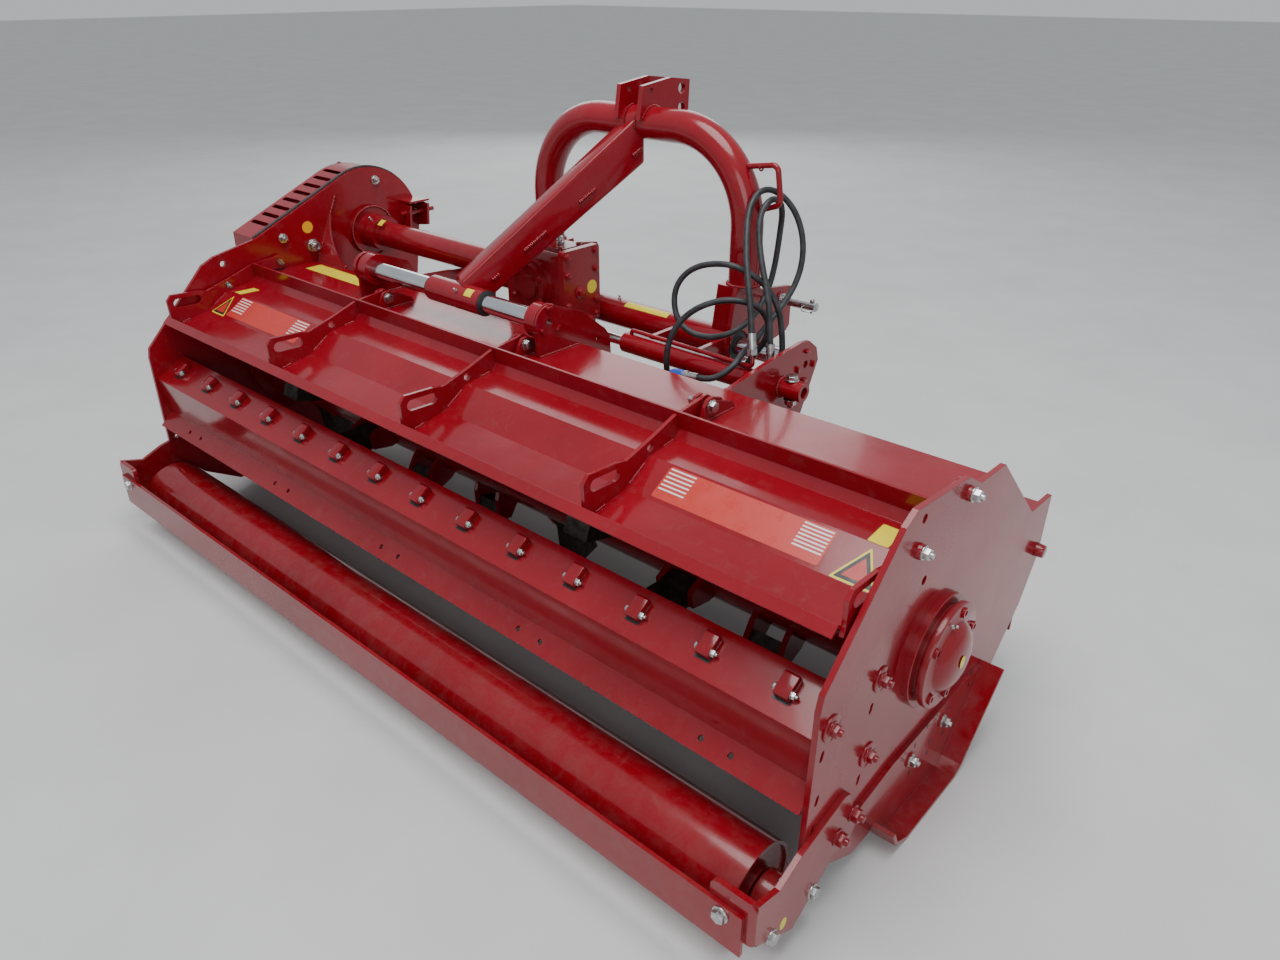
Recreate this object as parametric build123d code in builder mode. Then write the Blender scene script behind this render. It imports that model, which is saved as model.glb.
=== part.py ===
from build123d import *
from math import atan2, cos, degrees, hypot, pi, radians, sin, tan
import os

os.makedirs("parts", exist_ok=True)

# Rear flail mulcher with hydraulic side shift, for a tractor's three-point hitch, in millimetres.
# X runs across the machine, +Y forward to the tractor, +Z up. The outlines below are written in the
# machine's own section: y from the rotor's axis, z from the ground, x from the middle of the housing.

# Housing
half_width = 1060        # middle of the housing to the outside of a side plate
plate = 10               # side plates
sheet = 6                # folded sheets
rotor_z = 360            # height of the rotor's axis
fit = 0.05               # radial running fit
seat = 0.3               # between curved faces that lie against each other

# Rotor
rotor_tube_r = 84
rotor_shaft_r = 30
rotor_end_gap = 14       # rotor's end discs to the side plates
ear_tip_r = 150          # flail brackets
flail_tip_r = 234
flail_pin_r = 10
flail_pin_at = 128       # from the rotor's axis
flail_count = 22
flail_width = 62
ear_thick = 12
ear_play = 1.5

# Rear roller
roller_y = -403
roller_r = 84.15
roller_half = half_width - 56
roller_shaft_r = 20

# Rotor bearing on the right side plate
flange_r = 95
ring_r = 112
ring_thick = 14
flange_gap = 6
flange_thick = 14
dome_high = 26
dome_r = 62

# Belt guard on the left
guard_y = 366            # drive shaft's axis
guard_z = 679
guard_r = 186
cover_deep = 112
trim = 5
cover_wall = 4
slot_count = 8
slot_first = 63          # from the cover's rear edge, up the slope
slot_pitch = 40
slot_wide = 15
slot_long = 88

# Hood and its hinge
hinge_y = 41
hinge_z = 646
hinge_pin_r = 8
hinge_ear_r = 20
hood_gap = 6             # hood's end ribs to the side plates
hinge_fit = 0.08
lock_hole = (-122, 614)  # bolts that lock the hood to the side plates
lock_r = 8.5
rib_thick = 8
rib_count = 5
hood_line = [(-46, 660), (-40, 624), (-55, 607), (-124, 599), (-193, 556), (-272, 541), (-304, 567), (-321, 552)]
handle_long = 76
handle_wide = 24

# Slide rods and the headstock that moves along them
rod_r = 22.5
rear_rod_y = 83
rear_rod_z = 693
front_rod_y = 473
front_rod_z = 592
lug_left_x = -633        # right face of the left lug
lug_right_x = 50         # right face of the right lug
end_plate_x = 481        # right face of the end plate
lug_plate = 10
boss_r = 40
boss_long = 31
rear_sleeve_x = (-360, -165)
rear_sleeve_r = 31.5
front_sleeve_x = (-385, 287)
front_sleeve_r = 36
arch_x = -48             # middle of the headstock
arch_y = 500
arch_half = 328          # to the axis of a leg
arch_r = 38
arch_wall = 6
arch_bend = 205
arch_top = 1068          # axis of the crown
arch_foot = 736
link_plate = 12
link_half = arch_half + 13   # middle to the outside of a lower link plate
pin_y = 640
pin_z = 668
pin_r = 11
pin_steps = ((40, 14), (8, 16), (2, 10), (94, pin_r))   # from inside the leg's foot: length, radius
bracket_gap = 58
bracket_plate = 12
top_hole_r = 12.7
top_hole_y = 606

# Side shift cylinder
cyl_y = 330
cyl_z = 584
barrel_r = 25
barrel_x = (57, 440)
piston_rod_r = 12.5
piston_rod_end = 190     # inside the barrel
eye_x = -92
eye_r = 15
eye_high = 30
fork_x = (-107, -77)
fork_plate = 12
elbow_foot = (422, 340)     # where the barrel's elbow for the long hose starts
# Hydraulic hoses
hose_r = 7
ferrule_r = 10
ferrule_long = 34
nut_r = 12
nut_long = 14
plug_cap_r = 12

# Gearbox
gear_x = (-330, -128)
gear_y = (286, 414)
gear_z = (590, 782)
input_x = -226
boss_deep = 24
shaft_steps = ((26, 22), (2, 16.5), (72, 17.5))   # from inside the front boss: length, radius

# Right and rear ends of the whole machine set where its origin lies
x_max = half_width + ring_thick + flange_gap + flange_thick + dome_high
x_min = -(half_width + trim + cover_deep)
bar_rear_y = -520
link_front_y = 690
x0 = -(x_max + x_min) / 2
y0 = -(link_front_y + bar_rear_y) / 2

side = Plane(origin=(x0, y0, 0), x_dir=(0, 1, 0), z_dir=(1, 0, 0))
face = Plane(origin=(x0, y0, 0), x_dir=(1, 0, 0), z_dir=(0, -1, 0))
level = Plane(origin=(x0, y0, 0), x_dir=(1, 0, 0), z_dir=(0, 0, 1))
inner = half_width - plate


def finish(part, name):
    part.label = name
    export_step(part, f"parts/{name}.step")


# Side plates: the right one ends in two humps, the left one rises into the belt guard's back plate
plate_low = [(-376, 182), (-300, 90), (-200, 30), (250, 30), (349, 115), (448, 213), (501, 312), (504, 450)]
right_top = [(396, 457), (190, 640), (89, 645), (35, 677), (-146, 695), (-178, 678), (-366, 488), (-372, 461)]
rear_top = [(-141, 693), (-178, 676), (-366, 488), (-372, 461)]
guard_rise = (-12, 719)


def tangent_point(start):
    """Where a line from start touches the guard's arc, on its upper rear side."""
    away = hypot(guard_y - start[0], guard_z - start[1])
    turn = atan2(guard_z - start[1], guard_y - start[0]) + atan2(guard_r, (away**2 - guard_r**2) ** 0.5)
    reach = (away**2 - guard_r**2) ** 0.5
    return start[0] + reach * cos(turn), start[1] + reach * sin(turn)


guard_touch = tangent_point(guard_rise)
guard_front = (guard_y + guard_r, guard_z)
plate_holes = [(hinge_y, hinge_z, hinge_pin_r + hinge_fit), (*lock_hole, lock_r), (-119, 669, 8), (-83, 541, 8),
               (480, 332, 10.2), (0, rotor_z, rotor_shaft_r + fit)]
plate_slots = [(-208, 363), (-353, 368), (-217, 218), (-352, 278), (-355, 219)]

with BuildPart() as side_plate_right:
    with BuildSketch(side.offset(inner)):
        with BuildLine():
            Polyline(plate_low + right_top, close=True)
        make_face()
        for y, z, r in plate_holes:
            with Locations((y, z)):
                Circle(r, mode=Mode.SUBTRACT)
        with Locations(plate_slots):
            SlotOverall(20, 9, rotation=75, mode=Mode.SUBTRACT)
    extrude(amount=plate)
finish(side_plate_right.part, "side_plate_right")

with BuildPart() as side_plate_left:
    with BuildSketch(side.offset(-half_width)):
        with BuildLine():
            Polyline(plate_low + [(516, 470), guard_front])
            RadiusArc(guard_front, guard_touch, -guard_r, short_sagitta=True)
            Polyline([guard_touch, guard_rise] + rear_top + [plate_low[0]])
        make_face()
        for y, z, r in plate_holes:
            with Locations((y, z)):
                Circle(r, mode=Mode.SUBTRACT)
        with Locations(plate_slots):
            SlotOverall(20, 9, rotation=75, mode=Mode.SUBTRACT)
    extrude(amount=plate)
finish(side_plate_left.part, "side_plate_left")

# Top deck: level behind, sloping to a nose, its front edge folded down
deck_z = 620
slope_from = 178
slope_to = (390, 437)
deck_line = [(-28, deck_z), (slope_from, deck_z), slope_to, (497, 430), (499, 352)]


def on_slope(y):
    """Point on the upper side of the deck's slope."""
    return y, deck_z - (y - slope_from) * (deck_z - slope_to[1]) / (slope_to[0] - slope_from)


with BuildPart() as top_deck:
    with BuildSketch(side.offset(-inner)):
        with BuildLine():
            Polyline(deck_line)
            offset(amount=sheet, side=Side.RIGHT)
        make_face()
    extrude(amount=2 * inner)
finish(top_deck.part, "top_deck")

# Counter knife under the slope of the deck
with BuildPart() as counter_knife:
    with BuildSketch(side.offset(-inner)):
        with BuildLine():
            Polyline([(330, 478), (262, 452), (266, 440), (352, 456)], close=True)
        make_face()
    extrude(amount=2 * inner)
finish(counter_knife.part, "counter_knife")

# Rake beam behind the rotor: an inclined plate, a hollow web and a lower flange
beam_line = [(-285, 447), (-366, 402), (-350, 300), (-386, 268)]
beam_bolt_pairs = 5
beam_bolt_pitch = 440
beam_bolt_r = 5.5
with BuildPart() as rake_beam:
    with BuildSketch(side.offset(-inner)):
        with BuildLine():
            Polyline(beam_line)
            offset(amount=sheet, side=Side.LEFT)
        make_face()
    extrude(amount=2 * inner)
    web_slope = atan2(300 - 268, -350 + 386)
    flange_plane = Plane(origin=(x0, y0 - 368, 284), x_dir=(1, 0, 0), z_dir=(0, -sin(web_slope), cos(web_slope)))
    with BuildSketch(flange_plane.offset(-3 * sheet)):
        with GridLocations(beam_bolt_pitch, 0, beam_bolt_pairs, 1):
            with Locations((-30, 0), (30, 0)):
                Circle(beam_bolt_r)
    extrude(amount=6 * sheet, mode=Mode.SUBTRACT)
finish(rake_beam.part, "rake_beam")

# Fourteen tines bolted on the inclined plate, each with a square foot and a blade towards the rotor
tine_count = 14
tine_pitch = 150
tine_slope = degrees(atan2(447 - 402, -285 + 366))
tine_y = -320
tine_z = 447 + (tine_y + 285) * tan(radians(tine_slope))
foot_plane = Plane(origin=(x0, y0 + tine_y, tine_z), x_dir=(1, 0, 0),
                   z_dir=(0, -sin(radians(tine_slope)), cos(radians(tine_slope))))
with BuildPart() as rake_tines:
    with BuildSketch(foot_plane):
        with GridLocations(tine_pitch, 1, tine_count, 1):
            Rectangle(36, 46)
    extrude(amount=12)
    with BuildSketch(foot_plane):
        with GridLocations(tine_pitch, 1, tine_count, 1):
            with Locations((0, 8)):
                Rectangle(12, 30)
    extrude(amount=26)
finish(rake_tines.part, "rake_tines")

# Skids: an upright plate with a hollow upper edge, welded on a sole that curls up at both ends
skid_plate = 8
sole_wide = 48
skid_top = [(276, 163), (190, 176), (20, 172), (-100, 170), (-214, 153), (-150, 60)]
sole_line = [(282, 163), (140, 14), (112, 0), (-86, 0), (-128, 22), (-146, 58)]
for name, x in (("skid_right", half_width), ("skid_left", -half_width - sole_wide)):
    with BuildPart() as skid:
        with BuildSketch(side.offset(x)):
            with BuildLine():
                Polyline(sole_line)
                offset(amount=8, side=Side.RIGHT)
            make_face()
        extrude(amount=sole_wide)
        with BuildSketch(side.offset(x if x > 0 else x + sole_wide - skid_plate)):
            with BuildLine():
                Polyline(skid_top + sole_line[::-1], close=True)
            make_face()
            with Locations((97, 136), (-30, 130)):
                Circle(7, mode=Mode.SUBTRACT)
        extrude(amount=skid_plate)
    finish(skid.part, name)

# Roller arms outside the side plates, each turned inwards at the rear into a tab
arm_out = half_width + plate
arm_line = [(-258, 226), (-275, 232), (-397, 205), (-453, 182), (-509, 199), (-509, 112), (-403, 46), (-330, 88),
            (-292, 120), (-240, 108), (-222, 132)]
tab_thick = 8
tab_in = half_width - 75
bar_front_y = -512
for name, hand in (("roller_arm_right", 1), ("roller_arm_left", -1)):
    with BuildPart() as arm:
        with BuildSketch(side.offset(half_width if hand > 0 else -arm_out)):
            with BuildLine():
                Polyline(arm_line, close=True)
            make_face()
        extrude(amount=plate)
        with BuildSketch(face.offset(-bar_front_y - 11)):
            with Locations((hand * (tab_in + arm_out) / 2, 152)):
                RectangleRounded(arm_out - tab_in, 90, 14)
        extrude(amount=11)
        with BuildSketch(side.offset(roller_half + 6 if hand > 0 else -half_width)):
            with Locations((roller_y, roller_r)):
                Circle(42)
                Circle(roller_shaft_r + fit, mode=Mode.SUBTRACT)
        extrude(amount=half_width - roller_half - 6)
    finish(arm.part, name)

# Flat bar behind the roller, bolted to both tabs
with BuildPart() as rear_bar:
    with BuildSketch(face.offset(-bar_front_y)):
        with Locations((0, 123)):
            Rectangle(2 * 1050, 84)
    extrude(amount=bar_front_y - bar_rear_y)
finish(rear_bar.part, "rear_bar")

# Right rotor bearing: a ring on the side plate, a gap round the seal, the flange and its domed cap
with BuildPart() as rotor_bearing_right:
    with BuildSketch(side.offset(half_width)):
        with Locations((0, rotor_z)):
            Circle(ring_r)
            Circle(rotor_shaft_r + fit, mode=Mode.SUBTRACT)
    extrude(amount=ring_thick)
    with BuildSketch(side.offset(half_width + ring_thick)):
        with Locations((0, rotor_z)):
            Circle(flange_r - 8)
    extrude(amount=flange_gap)
    with BuildSketch(side.offset(half_width + ring_thick + flange_gap)):
        with Locations((0, rotor_z)):
            Circle(flange_r)
    extrude(amount=flange_thick)
    with BuildSketch(side.offset(half_width + ring_thick + flange_gap + flange_thick)):
        with Locations((0, rotor_z)):
            Circle(dome_r)
    extrude(amount=dome_high, taper=35)
finish(rotor_bearing_right.part, "rotor_bearing_right")

# Front guard: a rod through the side plates with steel flaps rolled round it
flap_rod_y = 480
flap_rod_z = 332
flap_rod_r = 10
flap_count = 20
flap_pitch = 2 * inner / flap_count
flap_low = 128
with BuildPart() as flap_rod:
    with BuildSketch(side.offset(-half_width - 8)):
        with Locations((flap_rod_y, flap_rod_z)):
            Circle(flap_rod_r)
    extrude(amount=2 * half_width + 16)
finish(flap_rod.part, "flap_rod")

with BuildPart() as front_flaps:
    for k in range(flap_count):
        with BuildSketch(side.offset(-inner + 2 + k * flap_pitch)):
            with Locations((flap_rod_y, flap_rod_z)):
                Circle(flap_rod_r + 6)
            with Locations((flap_rod_y - flap_rod_r - 3, (flap_rod_z + flap_low) / 2)):
                Rectangle(6, flap_rod_z - flap_low)
            with Locations((flap_rod_y, flap_rod_z)):
                Circle(flap_rod_r + fit, mode=Mode.SUBTRACT)
        extrude(amount=flap_pitch - 4)
finish(front_flaps.part, "front_flaps")

# Rotor: tube with end discs and stub shafts, bracket pairs on two helical rows and their pins
flail_pitch = 2 * (inner - 70) / (flail_count - 1)
bracket_half = flail_width / 2 + ear_play + ear_thick


def flail_place(k):
    """Plane of flail k, its y axis pointing outwards: neighbours stand on opposite rows that wind once."""
    x = -(inner - 70) + k * flail_pitch
    turn = radians(180 * (k % 2) + 360 * k / flail_count)
    return Plane(origin=(x0 + x, y0, rotor_z), x_dir=(0, cos(turn), sin(turn)), z_dir=(1, 0, 0))


bracket_line = [(-34, 70), (-34, 96), (-18, ear_tip_r - 6), (18, ear_tip_r - 6), (34, 96), (34, 70)]
with BuildPart() as rotor:
    with BuildSketch(side.offset(-inner + rotor_end_gap)):
        with Locations((0, rotor_z)):
            Circle(rotor_tube_r)
    extrude(amount=2 * (inner - rotor_end_gap))
    for x in (-inner + rotor_end_gap, inner - rotor_end_gap - 12):
        with BuildSketch(side.offset(x)):
            with Locations((0, rotor_z)):
                Circle(rotor_tube_r + 26)
        extrude(amount=12)
    with BuildSketch(side.offset(-half_width - 20)):
        with Locations((0, rotor_z)):
            Circle(rotor_shaft_r)
    extrude(amount=2 * half_width + 20 + ring_thick - 2)
    for k in range(flail_count):
        spoke = flail_place(k)
        for ear in (-bracket_half, bracket_half - ear_thick):
            with BuildSketch(spoke.offset(ear)):
                with BuildLine():
                    Polyline(bracket_line, close=True)
                make_face()
            extrude(amount=ear_thick)
        with BuildSketch(spoke.offset(-bracket_half)):
            with Locations((0, flail_pin_at)):
                Circle(flail_pin_r)
        extrude(amount=2 * bracket_half)
finish(rotor.part, "rotor")

hammer_line = [(-20, 108), (-22, 150), (-30, 196), (-34, flail_tip_r - 6), (26, flail_tip_r - 4), (30, 200),
               (20, 150), (20, 108)]
with BuildPart() as flails:
    for k in range(flail_count):
        spoke = flail_place(k)
        with BuildSketch(spoke.offset(-flail_width / 2)):
            with BuildLine():
                Polyline(hammer_line, close=True)
            make_face()
            with Locations((0, flail_pin_at)):
                Circle(flail_pin_r + fit, mode=Mode.SUBTRACT)
        extrude(amount=flail_width)
finish(flails.part, "flails")

# Rear roller: a tube with its end rings, hubs and stub shafts
with BuildPart() as roller:
    with BuildSketch(side.offset(-roller_half)):
        with Locations((roller_y, roller_r)):
            Circle(roller_r)
    extrude(amount=2 * roller_half)
    for x in (-roller_half, roller_half - 14):
        with BuildSketch(side.offset(x)):
            with Locations((roller_y, roller_r)):
                Circle(roller_r - 7)
                Circle(38, mode=Mode.SUBTRACT)
        extrude(amount=14, mode=Mode.SUBTRACT)
    with BuildSketch(side.offset(-half_width + 1)):
        with Locations((roller_y, roller_r)):
            Circle(roller_shaft_r)
    extrude(amount=2 * half_width - 2)
finish(roller.part, "roller")

# Hood: one folded sheet between two end ribs, with three more ribs on it, a handle slot in each
hood_half = inner - hood_gap
with BuildPart() as hood_sheet:
    with BuildSketch(side.offset(-hood_half + rib_thick)):
        with BuildLine():
            Polyline(hood_line)
            offset(amount=sheet - 1, side=Side.LEFT)
        make_face()
    extrude(amount=2 * (hood_half - rib_thick))
finish(hood_sheet.part, "hood_sheet")

rib_back = [(-296, 560.5), (-297, 606), (-284, 620), (-212, 616), (-186, 611), (-120, 630), (-46, 655)]
end_rib = [(-36, 606), (-52, 596), (-120, 588), (-189, 545), (-270, 529), (-300, 545)] + rib_back + [(-36, 658)]
mid_rib = rib_back + hood_line[1:6]
front_ear = [(-40.05, 655), (-35.88, 630), (hinge_y, 628), (hinge_y, 664)]
handle_mid = (-243, 594)
rib_centres = [-hood_half + rib_thick / 2, -523, 0, 523, hood_half - rib_thick / 2]
with BuildPart() as hood_ribs:
    for k, x in enumerate(rib_centres):
        with BuildSketch(side.offset(x - rib_thick / 2)):
            for line in (mid_rib if 0 < k < rib_count - 1 else end_rib, front_ear):
                with BuildLine():
                    Polyline(line, close=True)
                make_face()
            with Locations((hinge_y, hinge_z)):
                Circle(hinge_ear_r)
                Circle(hinge_pin_r + hinge_fit, mode=Mode.SUBTRACT)
            with Locations(handle_mid):
                SlotOverall(handle_long, handle_wide, rotation=-2, mode=Mode.SUBTRACT)
            with Locations(lock_hole):
                Circle(lock_r, mode=Mode.SUBTRACT)
        extrude(amount=rib_thick)
finish(hood_ribs.part, "hood_ribs")

# Hinge ears on the deck, one pair at each of the three middle ribs, and the hinge pins
ear_gap = 6
ear_plate = 8
ear_line = [(8, deck_z), (118, deck_z), (112, deck_z + 14), (58, hinge_z + 6), (48, hinge_z + 18),
            (30, hinge_z + 16), (20, hinge_z + 4)]
with BuildPart() as hinge_ears:
    for x in rib_centres[1:-1]:
        for off in (-rib_thick / 2 - ear_gap - ear_plate, rib_thick / 2 + ear_gap):
            with BuildSketch(side.offset(x + off)):
                with BuildLine():
                    Polyline(ear_line, close=True)
                make_face()
                with Locations((hinge_y, hinge_z)):
                    Circle(hinge_pin_r + hinge_fit, mode=Mode.SUBTRACT)
            extrude(amount=ear_plate)
finish(hinge_ears.part, "hinge_ears")

with BuildPart() as hinge_pins:
    for x, half in [(c, rib_thick / 2 + ear_gap + ear_plate + 6) for c in rib_centres[1:-1]]:
        with BuildSketch(side.offset(x - half)):
            with Locations((hinge_y, hinge_z)):
                Circle(hinge_pin_r)
        extrude(amount=2 * half)
    for x in (-half_width - 14, hood_half - rib_thick - 6):
        with BuildSketch(side.offset(x)):
            with Locations((hinge_y, hinge_z)):
                Circle(hinge_pin_r)
        extrude(amount=half_width + 20 - hood_half + rib_thick)
finish(hinge_pins.part, "hinge_pins")

# Slide rods with the lugs that hold them on the deck
rear_rod_x = (lug_left_x - 21, lug_right_x - lug_plate)
front_rod_x = (lug_left_x - lug_plate, end_plate_x - lug_plate)
for name, (x_from, x_to), y, z in (("rear_rod", rear_rod_x, rear_rod_y, rear_rod_z),
                                   ("front_rod", front_rod_x, front_rod_y, front_rod_z)):
    with BuildPart() as rod:
        with BuildSketch(side.offset(x_from)):
            with Locations((y, z)):
                Circle(rod_r)
        extrude(amount=x_to - x_from)
    finish(rod.part, name)

lug_right_line = [(47, deck_z), (47, rear_rod_z), (rear_rod_y, 733), (98, 731), (193, 692), (248, 646), (262, 636),
                  (280, 612), on_slope(284), (slope_from, deck_z)]
with BuildPart() as rod_lug_right:
    with BuildSketch(side.offset(lug_right_x - lug_plate)):
        with BuildLine():
            Polyline(lug_right_line, close=True)
        make_face()
        with Locations((rear_rod_y, rear_rod_z)):
            Circle(boss_r)
            Circle(9, mode=Mode.SUBTRACT)
        with Locations((239, 614)):
            Rectangle(11, 11, mode=Mode.SUBTRACT)
    extrude(amount=lug_plate)
    with BuildSketch(side.offset(lug_right_x - lug_plate - boss_long)):
        with Locations((rear_rod_y, rear_rod_z)):
            Circle(boss_r)
            Circle(rod_r + fit, mode=Mode.SUBTRACT)
    extrude(amount=boss_long)
finish(rod_lug_right.part, "rod_lug_right")

lug_left_line = [(47, 620), (47, rear_rod_z), (rear_rod_y, 733), (98, 731), (200, 690), (232, 640), (420, 628),
                 (front_rod_y, front_rod_z + 42), (front_rod_y + 42, front_rod_z), (486, 432), (390, 438),
                 (179, 620)]
with BuildPart() as rod_lug_left:
    with BuildSketch(side.offset(lug_left_x - lug_plate)):
        with BuildLine():
            Polyline(lug_left_line, close=True)
        make_face()
        with Locations((rear_rod_y, rear_rod_z), (front_rod_y, front_rod_z)):
            Circle(rod_r + fit, mode=Mode.SUBTRACT)
    extrude(amount=lug_plate)
    for x, long in ((lug_left_x - 21, 11), (lug_left_x, boss_long)):
        with BuildSketch(side.offset(x)):
            with Locations((rear_rod_y, rear_rod_z)):
                Circle(boss_r)
                Circle(rod_r + fit, mode=Mode.SUBTRACT)
        extrude(amount=long)
finish(rod_lug_left.part, "rod_lug_left")

end_line = [(174, 620), (178, 620), (390, 437), (450, 433.1), (527, 589), (516, 622), (482, 646), (448, 650),
            (323, 640)]
with BuildPart() as end_plate:
    with BuildSketch(side.offset(end_plate_x - lug_plate)):
        with BuildLine():
            Polyline(end_line, close=True)
        make_face()
        with Locations((front_rod_y, front_rod_z)):
            Circle(9, mode=Mode.SUBTRACT)
    extrude(amount=lug_plate)
    with BuildSketch(side.offset(end_plate_x - lug_plate - 14)):
        with Locations((front_rod_y, front_rod_z)):
            Circle(boss_r)
            Circle(rod_r + fit, mode=Mode.SUBTRACT)
    extrude(amount=14)
    with BuildSketch(side.offset(end_plate_x)):
        with Locations((380, 566)):
            Circle(22)
            Circle(13, mode=Mode.SUBTRACT)
    extrude(amount=58)
finish(end_plate.part, "end_plate")

# Gearbox on its stand, the drive tube to the belt guard and the input shaft
gear_mid = ((gear_x[0] + gear_x[1]) / 2, (gear_y[0] + gear_y[1]) / 2)
cover_plate = 18
with BuildPart() as gearbox:
    with BuildSketch(level.offset(gear_z[0])):
        with Locations(gear_mid):
            Rectangle(gear_x[1] - gear_x[0], gear_y[1] - gear_y[0] - 16)
    extrude(amount=gear_z[1] - gear_z[0] - 12)
    fillet(gearbox.edges().filter_by(Axis.X).group_by(Axis.Z)[-1], radius=20)
    with BuildSketch(side.offset(gear_x[1])):
        with Locations((gear_mid[1], (gear_z[0] + gear_z[1]) / 2)):
            RectangleRounded(gear_y[1] - gear_y[0], gear_z[1] - gear_z[0], 8)
    extrude(amount=cover_plate)
    with BuildSketch(level.offset(gear_z[1] - 12)):
        with Locations((gear_x[1] - 62, gear_mid[1] + 6)):
            RectangleRounded(86, 78, 12)
    extrude(amount=8)
    for depth, r in ((8, 66), (20, 54), (26, 30)):
        with BuildSketch(face.offset(-gear_y[0] - 8)):
            with Locations((input_x, guard_z)):
                Circle(r)
        extrude(amount=depth)
    with BuildSketch(face.offset(-gear_y[1] + 8)):
        with Locations((input_x, guard_z)):
            Circle(66)
    extrude(amount=-8)
    with BuildSketch(face.offset(-gear_y[1])):
        with Locations((input_x, guard_z)):
            Circle(44)
            Circle(shaft_steps[0][1] + fit, mode=Mode.SUBTRACT)
    extrude(amount=-boss_deep)
    with BuildSketch(side.offset(gear_x[0])):
        with Locations((guard_y, guard_z)):
            Circle(64)
    extrude(amount=-16)
finish(gearbox.part, "gearbox")

with BuildPart() as input_shaft:
    reach = gear_y[1]
    for long, r in shaft_steps:
        with BuildSketch(face.offset(-reach)):
            with Locations((input_x, guard_z)):
                Circle(r)
        extrude(amount=-long)
        reach += long
finish(input_shaft.part, "input_shaft")

stand_line = [on_slope(296), slope_to, (404, 436.1), (404, gear_z[0]), (296, gear_z[0])]
with BuildPart() as gearbox_stand:
    for x in (gear_x[0] + 10, gear_x[1] - 20):
        with BuildSketch(side.offset(x)):
            with BuildLine():
                Polyline(stand_line, close=True)
            make_face()
        extrude(amount=10)
finish(gearbox_stand.part, "gearbox_stand")

drive_r = 38
with BuildPart() as drive_tube:
    with BuildSketch(side.offset(-inner)):
        with Locations((guard_y, guard_z)):
            Circle(72)
    extrude(amount=14)
    with BuildSketch(side.offset(-inner + 14)):
        with Locations((guard_y, guard_z)):
            Circle(52)
    extrude(amount=70)
    with BuildSketch(side.offset(-inner + 84)):
        with Locations((guard_y, guard_z)):
            Circle(drive_r)
    extrude(amount=inner - 84 + gear_x[0] - 16)
finish(drive_tube.part, "drive_tube")

# Belt guard: rubber trim round the back plate, then the cover with its wall and vent slots
guard_line = [guard_touch, guard_rise, (-14, 600), (-132, 452), (-132, 308), (-60, 238), (140, 238), (535, 590),
              guard_front]
slope_turn = degrees(atan2(guard_touch[1] - guard_rise[1], guard_touch[0] - guard_rise[0]))
with BuildPart() as belt_trim:
    with BuildSketch(side.offset(-half_width - trim)):
        with BuildLine():
            Polyline(guard_line)
            RadiusArc(guard_front, guard_touch, -guard_r, short_sagitta=True)
        make_face()
        offset(amount=-8, mode=Mode.SUBTRACT)
    extrude(amount=trim)
finish(belt_trim.part, "belt_trim")

with BuildPart() as belt_cover:
    with BuildSketch(side.offset(x_min)):
        with BuildLine():
            Polyline(guard_line)
            RadiusArc(guard_front, guard_touch, -guard_r, short_sagitta=True)
        make_face()
    extrude(amount=cover_deep)
    with BuildSketch(side.offset(x_min + cover_wall)):
        with BuildLine():
            Polyline(guard_line)
            RadiusArc(guard_front, guard_touch, -guard_r, short_sagitta=True)
        make_face()
        offset(amount=-cover_wall)
    extrude(amount=cover_deep, mode=Mode.SUBTRACT)
    slope = Plane(origin=(x0 + x_min + cover_deep / 2, y0 + guard_rise[0], guard_rise[1]),
                  x_dir=(0, cos(radians(slope_turn)), sin(radians(slope_turn))),
                  z_dir=(0, -sin(radians(slope_turn)), cos(radians(slope_turn))))
    with BuildSketch(slope.offset(-20)):
        for k in range(slot_count):
            with Locations((slot_first + k * slot_pitch, 0)):
                SlotOverall(slot_long, slot_wide, rotation=90)
    extrude(amount=40, mode=Mode.SUBTRACT)
finish(belt_cover.part, "belt_cover")

# Gusset between the raised side plate and the deck, its free edge hollow
gusset_foot = Vector(x0 - inner, y0 + 174, 620)
gusset_deck = Vector(x0 - 915, y0 + 185, 620)
gusset_top = Vector(x0 - inner, y0 + 262, 804)
gusset_axis = (gusset_deck - gusset_foot).normalized()
gusset_up = (gusset_axis.cross(gusset_top - gusset_foot)).normalized()
gusset_plane = Plane(origin=gusset_foot, x_dir=gusset_axis, z_dir=gusset_up)
top_local = gusset_plane.to_local_coords(gusset_top)
with BuildPart() as belt_gusset:
    with BuildSketch(gusset_plane):
        with BuildLine():
            deck_edge = Line((0, 0), ((gusset_deck - gusset_foot).length, 0))
            ThreePointArc(deck_edge @ 1, (48, 62), (top_local.X, top_local.Y))
            Line((top_local.X, top_local.Y), (0, 0))
        make_face()
    extrude(amount=6)
finish(belt_gusset.part, "belt_gusset")

# Belt tensioner in front of the drive bearing: two plates under a sloping cap, with a long bolt through them
tension_y = (478, 545)
tension_z = 715
with BuildPart() as belt_tensioner:
    for y in tension_y:
        with BuildSketch(face.offset(-y - ear_plate)):
            with BuildLine():
                Polyline([(-inner, 664), (-inner + 52, 672), (-inner + 60, 740), (-inner, 748)], close=True)
            make_face()
        extrude(amount=ear_plate)
    with BuildSketch(level.offset(748)):
        with Locations((-inner + 31, (tension_y[0] + tension_y[1] + ear_plate) / 2)):
            Rectangle(62, tension_y[1] - tension_y[0] + ear_plate)
    extrude(amount=6)
    with BuildSketch(face.offset(-tension_y[1] - 40)):
        with Locations((-inner + 32, tension_z)):
            Circle(7)
    extrude(amount=tension_y[1] - tension_y[0] + 56)
finish(belt_tensioner.part, "belt_tensioner")

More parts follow.
